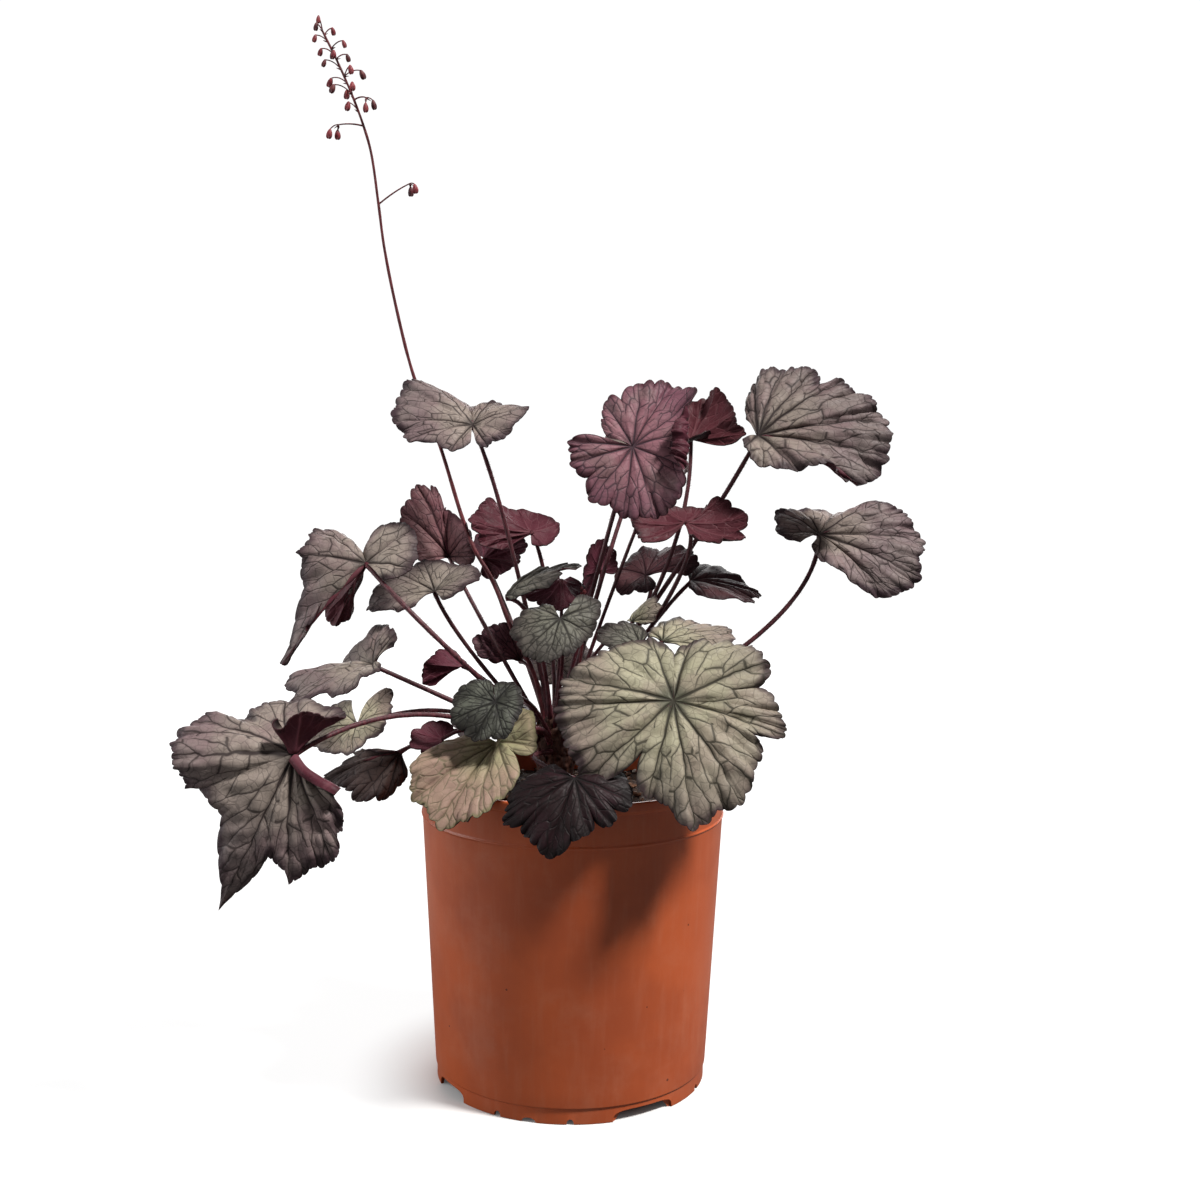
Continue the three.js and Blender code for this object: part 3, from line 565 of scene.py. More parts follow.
def plastic_pattern() -> None:
    """Colour and relief of moulded recycled plastic: clouds of tone, flow streaks, specks, and pale patches that are
    partly dust and partly a painted sheen of reflected light.
    """
    shape = Pattern("plastic_pattern", {
        "Body": tint(0xA8593C), "Deep": tint(0x8C452E), "Pale dust and sheen": tint(0xC08A72), "Speck": tint(0x2B1712),
        "Dust and sheen amount": 0.4})
    w, given = shape.wiring, shape.inputs
    place = w.coordinates()
    clouds = w.noise(place, 60, 4, 0.55)
    streaks = w.noise(w.coordinates((1.0, 1.0, 0.12)), 5, 3, 0.6)
    grain = w.noise(place, 0.9, 3, 0.7)
    colour = w.mix(w.fade(clouds, 0.35, 0.7), given["Body"], given["Deep"])
    colour = w.mix(w.fade(streaks, 0.45, 0.75, 0.0, 0.14), colour, given["Pale dust and sheen"])
    # pale patches, partly dust and partly a painted sheen of reflected white light; they also roughen the surface
    dust_and_sheen = w.times(w.fade(w.noise(place, 38, 5, 0.65), 0.48, 0.75), given["Dust and sheen amount"])
    colour = w.mix(dust_and_sheen, colour, given["Pale dust and sheen"])
    colour = w.mix(w.fade(grain, 0.3, 0.8, 0.0, 0.16), colour, given["Deep"])
    cells = w.node("ShaderNodeTexVoronoi", {"Vector": place, "Scale": 95.0}, feature="F1").outputs
    chance = w.node("ShaderNodeSeparateColor", {0: cells["Color"]}).outputs[0]
    speck = w.math("LESS_THAN", cells["Distance"], w.fade(chance, 0.55, 1.0, 0.0, 0.07))
    colour = w.mix(w.times(speck, 0.75), colour, given["Speck"])
    relief = w.plus(w.times(clouds, 0.4), w.times(grain, 0.12))
    relief = w.plus(relief, w.times(w.noise(place, 14, 2), 0.35))
    roughness = w.plus(w.fade(clouds, 0.35, 0.7, 0.30, 0.38), w.times(dust_and_sheen, 0.35))
    shape.give(colour, relief, w.plus(roughness, w.times(grain, 0.08)))


def fibre_pattern() -> None:
    """Colour and relief of stalks, bark and crumbs: streaks of two tones, blotches and fine grain."""
    shape = Pattern("fibre_pattern", {
        "Light": tint(0x8A4650), "Dark": tint(0x4A1C24), "Blotch": tint(0x5C3A32), "Size": 1.0})
    w, given = shape.wiring, shape.inputs
    drawn_out, place = (
        w.node("ShaderNodeVectorMath", {0: w.coordinates(scale), "Scale": given["Size"]},
               operation="SCALE").outputs[0]
        for scale in ((1, 1, 0.2), (1, 1, 1)))
    streaks = w.noise(drawn_out, 1.3, 3, 0.6)
    blotches = w.noise(place, 7, 4, 0.6)
    grain = w.noise(place, 0.6, 2, 0.6)
    colour = w.mix(w.fade(streaks, 0.35, 0.68), given["Dark"], given["Light"])
    colour = w.mix(w.fade(blotches, 0.5, 0.72, 0.0, 0.7), colour, given["Blotch"])
    colour = w.mix(w.fade(grain, 0.35, 0.75, 0.0, 0.3), colour, given["Dark"])
    relief = w.plus(w.times(streaks, 0.6), w.times(grain, 0.3))
    shape.give(colour, relief, w.fade(blotches, 0.3, 0.7, 0.0, 0.18))


@dataclass(frozen=True)
class Finish:
    """A material: a pattern group with its own colours and numbers, and the shader's plain settings."""

    name: str
    pattern: str
    values: dict[str, object]
    bump: float = 0.3
    depth: float = 0.001
    specular: float = 0.4
    sheen: float = 0.0
    base_roughness: float = 0.0

    def material(self) -> bpy.types.Material:
        """The material, made when it is first asked for.

        Returns:
            The material.
        """
        found = bpy.data.materials.get(self.name)
        if found is not None:
            return found
        material = bpy.data.materials.new(self.name)
        material.use_nodes = True
        material.node_tree.nodes.clear()
        w = Wiring(material.node_tree)
        given = w.node("ShaderNodeGroup", self.values, node_tree=bpy.data.node_groups[self.pattern]).outputs
        roughness = given["Roughness"]
        if self.base_roughness:
            roughness = w.plus(roughness, self.base_roughness)
        bump = w.node("ShaderNodeBump", {"Strength": self.bump, "Distance": self.depth, "Height": given["Height"]})
        shader = w.node("ShaderNodeBsdfPrincipled", {
            "Base Color": given["Colour"], "Roughness": roughness, "Specular IOR Level": self.specular,
            "Sheen Weight": self.sheen, "Normal": bump.outputs[0]})
        w.node("ShaderNodeOutputMaterial", {"Surface": shader.outputs[0]})
        return material


class Tone(Enum):
    """Name of a leaf's material slot."""

    SILVER = "leaf_silver"
    ROSE = "leaf_rose"
    GREEN = "leaf_green"
    BEIGE = "leaf_beige"
    DARK = "leaf_dark"


def blade_finish(name: str, panel: int, outer: int, vein: int, edge: int, flush: int, hub: int,
                 edge_width: float, mottle: float, net: float, vein_width: float = 1.0) -> Finish:
    """The upper side of a leaf, from its six colours and four numbers."""
    values = {"Panel": tint(panel), "Outer": tint(outer), "Vein": tint(vein), "Edge": tint(edge),
              "Flush": tint(flush), "Hub": tint(hub), "Edge width": edge_width, "Mottle": mottle, "Net": net,
              "Vein width": vein_width}
    return Finish(name, "leaf_pattern", values, bump=0.5, depth=0.0006, specular=0.22)


class Look(Enum):
    """How the upper side of a leaf is coloured."""

    SAGE = blade_finish(
        "sage_leaf", 0xADA78F, 0x91857A, 0x38342B, 0x3A2A30, 0x907A74, 0x4E5243, 0.10, 0.45, 0.34)
    PEWTER = blade_finish(
        "pewter_leaf", 0x94887F, 0x7C6F6D, 0x2E2524, 0x34232A, 0x785F64, 0x4C4540, 0.14, 0.55, 0.38)
    ROSE = blade_finish(
        "rose_leaf", 0x8C6067, 0x774E59, 0x3A2830, 0x46222A, 0x776863, 0x5E3C43, 0.08, 0.5, 0.35)
    DUSKY = blade_finish(
        "dusky_leaf", 0x835A5C, 0x71474C, 0x371F25, 0x3C1C23, 0x6C5451, 0x4C3033, 0.12, 0.5, 0.35)
    WINE = blade_finish(
        "wine_leaf", 0x4C2B31, 0x402027, 0x250E15, 0x2B1017, 0x54383A, 0x361920, 0.15, 0.6, 0.3)
    GREEN = blade_finish(
        "green_leaf", 0x706E64, 0x59534F, 0x2A2723, 0x2B2122, 0x655D56, 0x3E3F38, 0.2, 0.5, 0.6, 2.1)
    # painted shade: the dark panels, margins and veins of this look paint the shade that the front green leaf lies
    # in; its pale green mottle is its own colour
    SHADED_GREEN = blade_finish(
        "shaded_green_leaf", 0x34342E, 0x262420, 0x12100E, 0x1E1717, 0x66685E, 0x22221E, 0.2, 0.85, 0.5, 2.1)
    BEIGE = blade_finish(
        "beige_leaf", 0x979272, 0xA28878, 0x746A54, 0x7A7456, 0x9A7C72, 0x566038, 0.06, 0.6, 0.3, 1.3)
    PLUM = blade_finish(
        "plum_leaf", 0x5C4E4B, 0x4D403F, 0x2A201F, 0x2C2022, 0x584642, 0x3A2F2E, 0.16, 0.5, 0.35)
    # partly painted shade: the leaves' own dark purple, made darker still to paint the deep shade that the front
    # purple and low black leaves lie in
    SHADED_DARK_PURPLE = blade_finish(
        "shaded_dark_purple_leaf", 0x1C080B, 0x160608, 0x0A0404, 0x0E0507, 0x2C1219, 0x100607, 0.2, 0.6, 0.3)
    MAROON = blade_finish(
        "maroon_leaf", 0x38191F, 0x2E1218, 0x1C090D, 0x200A10, 0x43262B, 0x28121A, 0.15, 0.6, 0.3)


def fibre_finish(name: str, light: int, dark: int, blotch: int, size: float, **settings: float) -> Finish:
    """A stalk, bark or crumb, from its three colours and the pattern's size."""
    values = {"Light": tint(light), "Dark": tint(dark), "Blotch": tint(blotch), "Size": size}
    return Finish(name, "fibre_pattern", values, **settings)


UNDERSIDE = Finish(
    "leaf_underside", "leaf_pattern",
    {"Panel": tint(0x4C1B27), "Outer": tint(0x42141F), "Vein": tint(0x62343D), "Edge": tint(0x350F18),
     "Flush": tint(0x5A2834), "Hub": tint(0x5A2E36), "Vein width": 1.2, "Net": 0.3, "Edge width": 0.08,
     "Mottle": 0.5, "Halo": 0.4},
    bump=0.5, depth=0.0006, specular=0.2, sheen=0.03)
STALK = fibre_finish("hairy_stalk", 0x66323A, 0x3C1820, 0x523034, 1.0,
                     bump=0.35, depth=0.0004, specular=0.35, base_roughness=0.42)
HAIR = fibre_finish("stalk_hair", 0xA87C80, 0x824E56, 0x96686C, 1.0,
                    bump=0.1, depth=0.0002, specular=0.4, base_roughness=0.5)
FLOWER_STALK = fibre_finish("spike_stalk", 0x78353B, 0x4C1D22, 0x5A2E32, 1.0,
                            bump=0.35, depth=0.0004, specular=0.3, base_roughness=0.45)
BUD_SKIN = fibre_finish("flower_bud", 0x9E3E46, 0x6C202B, 0xB05E56, 1.6,
                        bump=0.3, depth=0.0003, specular=0.4, sheen=0.1, base_roughness=0.45)
BUD_DARK = fibre_finish("flower_bud_dark", 0x6C2A32, 0x44171E, 0x7E403A, 1.6,
                        bump=0.3, depth=0.0003, specular=0.4, sheen=0.1, base_roughness=0.45)
CROWN_BARK = fibre_finish("crown_bark", 0x5E3F34, 0x2E1C18, 0x4E262A, 0.5,
                          bump=0.8, depth=0.001, specular=0.25, base_roughness=0.62)
COMPOST = fibre_finish("compost", 0x3A2A22, 0x17100D, 0x4A382C, 0.7,
                       bump=1.0, depth=0.0015, specular=0.2, base_roughness=0.75)
BARK_CHIP = fibre_finish("bark_chip", 0x6B4A36, 0x2E1E17, 0x4F3527, 0.6,
                         bump=0.8, depth=0.0008, specular=0.2, base_roughness=0.7)
PERLITE = fibre_finish("perlite", 0xE2DED4, 0xB5ADA0, 0xD2CABC, 1.0,
                       bump=0.6, depth=0.0005, specular=0.25, base_roughness=0.7)
POT_PLASTIC = Finish(
    "pot_plastic", "plastic_pattern",
    # the pale colour stands for dust and partly paints a sheen of reflected light
    {"Body": tint(0xC25C32), "Deep": tint(0xAC502D), "Pale dust and sheen": tint(0xC68064), "Speck": tint(0x2B1712),
     "Dust and sheen amount": 0.25},
    bump=0.12, depth=0.0006, specular=0.45)


# ---- Leaves ------------------------------------------------------------------------------------
@dataclass(frozen=True)
class LeafPlan:
    """Where a leaf is, and what it looks like: its hub and bend from the pot's foot, and its tips from the hub.

    A tip is at the end of a main vein, apart from those listed as minor, which only shape the margin. The
    sinuses say how far the margin falls in between two tips, the curls by how many degrees a tip rolls up,
    and the rolls by how many each edge beside the stalk does.
    """

    hub: Place
    bend: Place
    tone: Tone
    look: Look
    tips: tuple[Place, ...]
    sinuses: tuple[float, ...] = ()
    curl: tuple[float, ...] = ()
    rolls: tuple[float, float] = (0.0, 0.0)
    minor: tuple[int, ...] = ()


LEAVES: dict[str, LeafPlan] = {
    "top_left": LeafPlan((-56, 5, 359), (-38, 18, 301), Tone.SILVER, Look.PEWTER, tips=(
        (9, -16, -11), (18, -14, -6), (31, -2, 10), (10, 20, 13), (-7, 32, 11), (-31, 24, 26),
        (-42, 14, 18), (-44, -2, 1), (-34, -12, -8), (-10, -18, -13)),
        sinuses=(0.05, 0.05, 0.24, 0.05, 0.5, 0, 0.02, 0.06, 0.16), minor=(1, 6)),
    "left": LeafPlan((-112, -10, 285), (-70, -34, 247), Tone.SILVER, Look.PEWTER, tips=(
        (26, -12, -2), (25, 10, 18), (9, 18, 21), (-2, 24, 7), (-13, 38, -33), (-30, 38, -34),
        (-17, 28, 9), (-31, 16, 17), (-39, 2, 5), (-47, -6, -56), (-34, -10, -39)),
        sinuses=(0.05, 0, 0.05, 0, 0.03, 0, 0.02, 0.05, 0.36, 0), minor=(2, 3, 6, 10)),
    "rose": LeafPlan((-73, 52, 283), (-51, 28, 247), Tone.ROSE, Look.DUSKY, tips=(
        (16, -18, 2), (14, -14, 16), (0, 2, 27), (-9, 8, 40), (-19, 4, 42), (-28, -2, 28), (-22, -10, 7),
        (-16, -14, -1)),
        sinuses=(0.1, 0.02, 0.15, 0.08, 0.06, 0.04, 0), minor=(6,)),
    "left_inner": LeafPlan((-76, -2, 269), (-58, 6, 237), Tone.SILVER, Look.PEWTER, tips=(
        (15, -18, 2), (26, -4, 11), (14, 16, 14), (-8, 22, 15), (-26, 20, 8), (-39, 2, -9), (-19, -12, -9)),
        sinuses=(0.05, 0.05, 0.02, 0.04, 0.04, 0), minor=(6,)),
    "back_left_high": LeafPlan((-26, 44, 298), (-16, 50, 259), Tone.DARK, Look.MAROON, tips=(
        (-14, -5, -9), (-28, -15, -6), (-35, -15, 8), (-26, 5, 18), (-7, 20, 12),
        (16, 12, 5), (9, -5, -7))),
    "back_left_mid": LeafPlan((-54, 66, 281), (-35, 50, 241), Tone.DARK, Look.WINE, tips=(
        (-5, 18, 12), (7, 6, 19), (21, -6, 21), (26, -8, 9), (22, -6, -1),
        (12, 6, -9), (4, 16, -15))),
    "centre_fold": LeafPlan((-37, -14, 268), (-21, -10, 250), Tone.DARK, Look.GREEN, tips=(
        (9, -14, 2), (28, -18, 12), (41, -5, 19), (32, 13, 16), (21, 18, 15),
        (10, 18, 9), (3, 12, 2))),
    "centre_dark": LeafPlan((-8, 26, 273), (-8, 18, 241), Tone.DARK, Look.WINE, tips=(
        (12, 10, -4), (11, -5, -12), (0, -12, -16), (-10, -12, -14), (-21, -5, -9),
        (-21, 8, -3), (-10, 18, 0))),
    "centre": LeafPlan((-7, -38, 260), (-6, -22, 236), Tone.GREEN, Look.GREEN, tips=(
        (-16, 15, 4), (-27, 0, -7), (-19, -12, -18), (-6, -15, -22), (8, -12, -16),
        (17, 0, -9), (21, 12, 7)),
        sinuses=(0.06, 0.1, 0.05, 0.08, 0.06, 0.08)),
    "centre_pink": LeafPlan((-31, 34, 226), (-22, 20, 219), Tone.DARK, Look.ROSE, tips=(
        (7, -10, 10), (3, 0, 18), (-9, 5, 22), (-20, 0, 20), (-28, -10, 13), (-22, -18, 5))),
    "left_small": LeafPlan((-61, -8, 229), (-43, -4, 217), Tone.DARK, Look.WINE, tips=(
        (-21, -8, -8), (-19, -12, 4), (-12, 0, 10), (-4, 10, 7), (2, 8, 1))),
    "left_fold": LeafPlan((-106, -28, 233), (-66, -20, 213), Tone.SILVER, Look.PEWTER, tips=(
        (12, 8, 16), (2, 24, 20), (-25, 36, -8), (-50, 14, -13), (-40, -14, -19),
        (-9, -32, -9), (4, -24, 0)),
        sinuses=(0.08, 0.12, 0.1, 0.1, 0.15, 0.1)),
    "low_left": LeafPlan((-136, -95, 199), (-81, -36, 208), Tone.SILVER, Look.PEWTER, tips=(
        (6, -8, 23), (26, 6, 18), (-12, 30, 22), (-33, 26, 13), (-56, 18, 13), (-61, -6, -1),
        (-55, -4, -18), (-39, -5, -81), (-2, -6, -65), (21, -7, -53), (26, -7, -33)),
        sinuses=(0.1, 0.1, -0.05, 0.02, 0, 0, 0.36, 0.32, 0.02, 0.08), rolls=(200, 215), minor=(3, 6)),
    "low_left_back": LeafPlan((-118, -5, 196), (-68, 0, 203), Tone.SILVER, Look.SAGE, tips=(
        (-18, 22, 7), (-33, 8, -10), (-16, -8, -15), (0, -18, -12), (16, -14, 0),
        (19, 0, 8), (18, 14, 18))),
    "low_left_brown": LeafPlan((-97, 15, 177), (-58, 10, 191), Tone.DARK, Look.PLUM, tips=(
        (-5, -4, 1), (-24, 10, -2), (-38, 4, -11), (-50, -4, -23), (-33, -12, -19), (-22, -16, -26),
        (-7, -12, -25), (3, -6, -16)),
        sinuses=(0.05, 0.1, 0.05, 0.1, 0.05, 0.08, 0.05), minor=(1, 4)),
    # partly painted shade: a dark leaf set into the deep shade low in the crown, dressed in the darkened purple look
    # that paints that shade
    "low_black": LeafPlan((-71, -8, 189), (-40, -5, 199), Tone.DARK, Look.SHADED_DARK_PURPLE, tips=(
        (5, -10, -10), (-8, -14, -6), (-17, -12, -2), (-17, -4, 5), (-10, 6, 8),
        (1, 12, 8))),
    "front_green": LeafPlan((-39, -64, 220), (-25, -34, 216), Tone.GREEN, Look.SHADED_GREEN, tips=(
        (-11, 14, 10), (-22, 6, 3), (-22, -8, -9), (-10, -12, -18), (6, -12, -16),
        (14, -4, -4), (9, 10, 9)),
        sinuses=(0.08, 0.1, 0.06, 0.12, 0.1, 0.08)),
    "front_beige": LeafPlan((-38, -58, 198), (-20, -30, 200), Tone.BEIGE, Look.BEIGE, tips=(
        (-22, 4, 1), (-45, -10, -10), (-43, -20, -25), (-28, -30, -38), (-8, -32, -32), (10, -28, -18),
        (21, -12, 1), (18, 0, 17), (3, 8, 15)),
        sinuses=(-0.02, 0.05, 0.05, 0.04, 0.07, 0.5, 0.06, 0), minor=(0, 8)),
    "front_purple": LeafPlan((2, -88, 187), (-19, -46, 187), Tone.DARK, Look.SHADED_DARK_PURPLE, tips=(
        (-18, 6, 3), (-34, -2, -11), (-35, -10, -23), (-24, -14, -27), (-12, -18, -37), (7, -16, -26),
        (19, -14, -22), (30, -6, -12), (23, 10, 3)),
        sinuses=(0.06, 0.04, 0.1, 0, 0.08, 0.2, 0.2, 0.08), minor=(3,)),
    "front_right": LeafPlan((51, -75, 224), (17, -40, 215), Tone.SILVER, Look.SAGE, tips=(
        (-11, 21, 29), (-37, 18, 23), (-57, 8, 8), (-61, 2, -6), (-56, -6, -23), (-44, -14, -40),
        (-13, -20, -46), (10, -26, -61), (35, -22, -47), (45, -12, -27), (58, -4, -17), (55, 2, -3),
        (50, 10, 19), (36, 20, 28), (11, 27, 27)),
        sinuses=(0.02, 0, 0.03, 0.02, 0.05, 0.42, 0.07, 0.07, 0, 0.22, 0, 0.17, 0, 0.09), minor=(1, 4, 9, 11, 13)),
    "right_shoulder": LeafPlan((47, -28, 247), (14, -15, 227), Tone.SILVER, Look.SAGE, tips=(
        (37, -18, -5), (38, 0, 6), (21, 22, 8), (3, 30, 8), (-7, 16, 3))),
    "right_small": LeafPlan((31, -12, 255), (9, -6, 233), Tone.SILVER, Look.SAGE, tips=(
        (12, -12, 3), (16, -8, 10), (13, 3, 14), (5, 14, 7), (-1, 10, 1))),
    "right_small_low": LeafPlan((35, -40, 246), (11, -22, 229), Tone.GREEN, Look.GREEN, tips=(
        (2, 12, 8), (-6, 18, 11), (-22, 12, 9), (-23, 0, 3), (-15, -10, -1))),
    "top_rose": LeafPlan((30, -15, 349), (16, -8, 296), Tone.ROSE, Look.ROSE, tips=(
        (-35, -7, 2), (-33, -10, -10), (-22, -14, -29), (-5, -16, -37), (13, -15, -38), (27, -12, -30),
        (43, -6, -19), (47, 0, -4), (45, 8, 10), (38, 20, 25), (21, 28, 34), (4, 24, 36), (-16, 16, 23),
        (-17, 8, 11)),
        sinuses=(0.04, 0.15, 0.08, 0.03, 0.03, 0, 0, 0, 0, 0.04, 0.05, 0.17, 0.08),
        curl=(0, 0, 0, 0, 0, 40, 190, 205, 190, 60, 0, 0, 0, 0), minor=(5, 7, 13)),
    "top_back": LeafPlan((63, 28, 352), (48, 10, 278), Tone.DARK, Look.WINE, tips=(
        (8, -12, 5), (-15, -6, -4), (-13, 10, 16), (7, 18, 23), (16, 10, 29), (25, -2, 15), (30, -10, 4)),
        sinuses=(0.1, 0.1, 0.05, 0.05, 0.05, 0.1)),
    "upper_right": LeafPlan((99, 15, 355), (63, 17, 292), Tone.SILVER, Look.PEWTER, tips=(
        (-9, -18, -6), (-1, -22, -16), (18, -24, -17), (40, -22, -16), (53, -16, -27), (73, -4, -13),
        (74, 8, 9), (64, 14, 23), (49, 20, 30), (35, 28, 37), (17, 34, 39), (2, 34, 33), (-4, 28, 20)),
        sinuses=(0.02, 0, 0, 0.14, 0, 0.02, 0.04, 0.02, 0.15, 0.03, 0.02, 0), minor=(1, 3, 7, 12)),
    "right": LeafPlan((136, 30, 300), (101, 18, 244), Tone.SILVER, Look.PEWTER, tips=(
        (-3, -16, -11), (12, -17, -21), (38, -14, -35), (57, -8, -24), (61, 4, -3), (51, 12, 11),
        (40, 16, 18), (13, 32, 11), (-9, 24, 13), (-24, 14, 12), (-24, -8, 0)),
        sinuses=(0, 0.02, 0.03, 0.07, 0.02, 0, 0.32, 0.1, 0.06, 0.12), minor=(1, 5)),
    "rose_crinkled": LeafPlan((59, -4, 308), (53, 0, 271), Tone.DARK, Look.WINE, tips=(
        (-24, -10, -9), (-29, 0, 0), (-12, 10, 7), (10, 14, 8), (20, 11, 14),
        (35, 0, 3), (31, -12, -8), (13, -20, -8))),
    "rose_small": LeafPlan((38, 8, 315), (24, 4, 280), Tone.DARK, Look.WINE, tips=(
        (12, -8, -11), (4, -14, -18), (-4, -12, -15), (-8, -4, -7), (-5, 6, 0))),
    "right_dark": LeafPlan((64, 22, 274), (41, 12, 248), Tone.DARK, Look.WINE, tips=(
        (7, -20, -6), (35, -12, -11), (40, 0, -8), (32, 14, -2), (15, 28, 7),
        (1, 24, 5))),
    "right_mid": LeafPlan((39, 28, 276), (36, 24, 251), Tone.DARK, Look.WINE, tips=(
        (31, 2, 7), (26, 15, 15), (12, 28, 14), (-2, 24, 13), (-16, 8, 2),
        (-14, -14, -9), (0, -20, -7))),
    "centre_round": LeafPlan((14, 32, 278), (8, 20, 249), Tone.DARK, Look.WINE, tips=(
        (-9, -5, -15), (-10, -12, -2), (-7, -8, 13), (1, 5, 18), (8, 12, 11),
        (10, 10, 1))),
    "back_high": LeafPlan((37, 58, 338), (20, 24, 293), Tone.SILVER, Look.PEWTER, tips=(
        (10, -14, -14), (27, -4, -4), (25, 14, 12), (6, 26, 27), (-16, 18, 21),
        (-26, 0, 5), (-17, -14, -11))),
    "back_low_right": LeafPlan((62, 72, 183), (26, 40, 203), Tone.SILVER, Look.PEWTER, tips=(
        (11, -20, -8), (39, 0, -3), (40, 25, 8), (14, 44, 13), (-17, 40, 14),
        (-35, 15, 5), (-24, -15, -6))),
    "back_low_left": LeafPlan((-49, 72, 187), (-31, 38, 203), Tone.SILVER, Look.PEWTER, tips=(
        (11, -20, -9), (24, 0, -7), (20, 28, 2), (2, 44, 8), (-15, 36, 7),
        (-26, 12, -3), (-17, -14, -11))),
    "back_centre": LeafPlan((-9, 62, 218), (-11, 30, 210), Tone.SILVER, Look.PEWTER, tips=(
        (9, -12, -8), (22, 2, -2), (18, 20, 8), (2, 30, 12), (-13, 24, 10),
        (-19, 6, 1), (-10, -10, -8))),
}


@dataclass(frozen=True)
class CrownForm:
    """The crown: a stubby rootstock, most of it in the soil."""

    x: float = -10.0
    y: float = 4.0
    foot: float = 135.0
    middle: float = 182.0
    radius: float = 13.0
    rise: float = 21.0
    neck: float = 9.5
    spacing: float = 5.2
    shuffles: int = 80

    @property
    def centre(self) -> Points:
        """The dome's centre."""
        return np.array([self.x, self.y, self.middle])

    def settle(self, spot: Points) -> Points:
        """The place of the dome's surface towards a spot, not far below its middle."""
        spot = np.array([spot[0], spot[1], max(spot[2], -0.45 * self.rise)])
        return spot / np.linalg.norm(spot / np.array([self.radius, self.radius, self.rise]))

    def roots(self, bends: list[Place]) -> list[Points]:
        """Where stalks leave the crown.

        Each starts out towards its bend, and those closer than the spacing push each other apart by a
        quarter of what they lack, round after round.

        Args:
            bends: The bend of each stalk.

        Returns:
            A place on the dome for each stalk.
        """
        spots = [self.settle(np.array(bend, float) - self.centre) for bend in bends]
        for _ in range(self.shuffles):
            for i in range(len(spots)):
                for j in range(i):
                    apart = spots[i] - spots[j]
                    distance = float(np.linalg.norm(apart))
                    if distance < self.spacing:
                        push = apart / distance * 0.25 * (self.spacing - distance)
                        spots[i] = self.settle(spots[i] + push)
                        spots[j] = self.settle(spots[j] - push)
        return [spot + self.centre for spot in spots]

    def inside(self, root: Points) -> Points:
        """A place just inside the crown, below a root."""
        return self.centre + 0.8 * (root - self.centre)


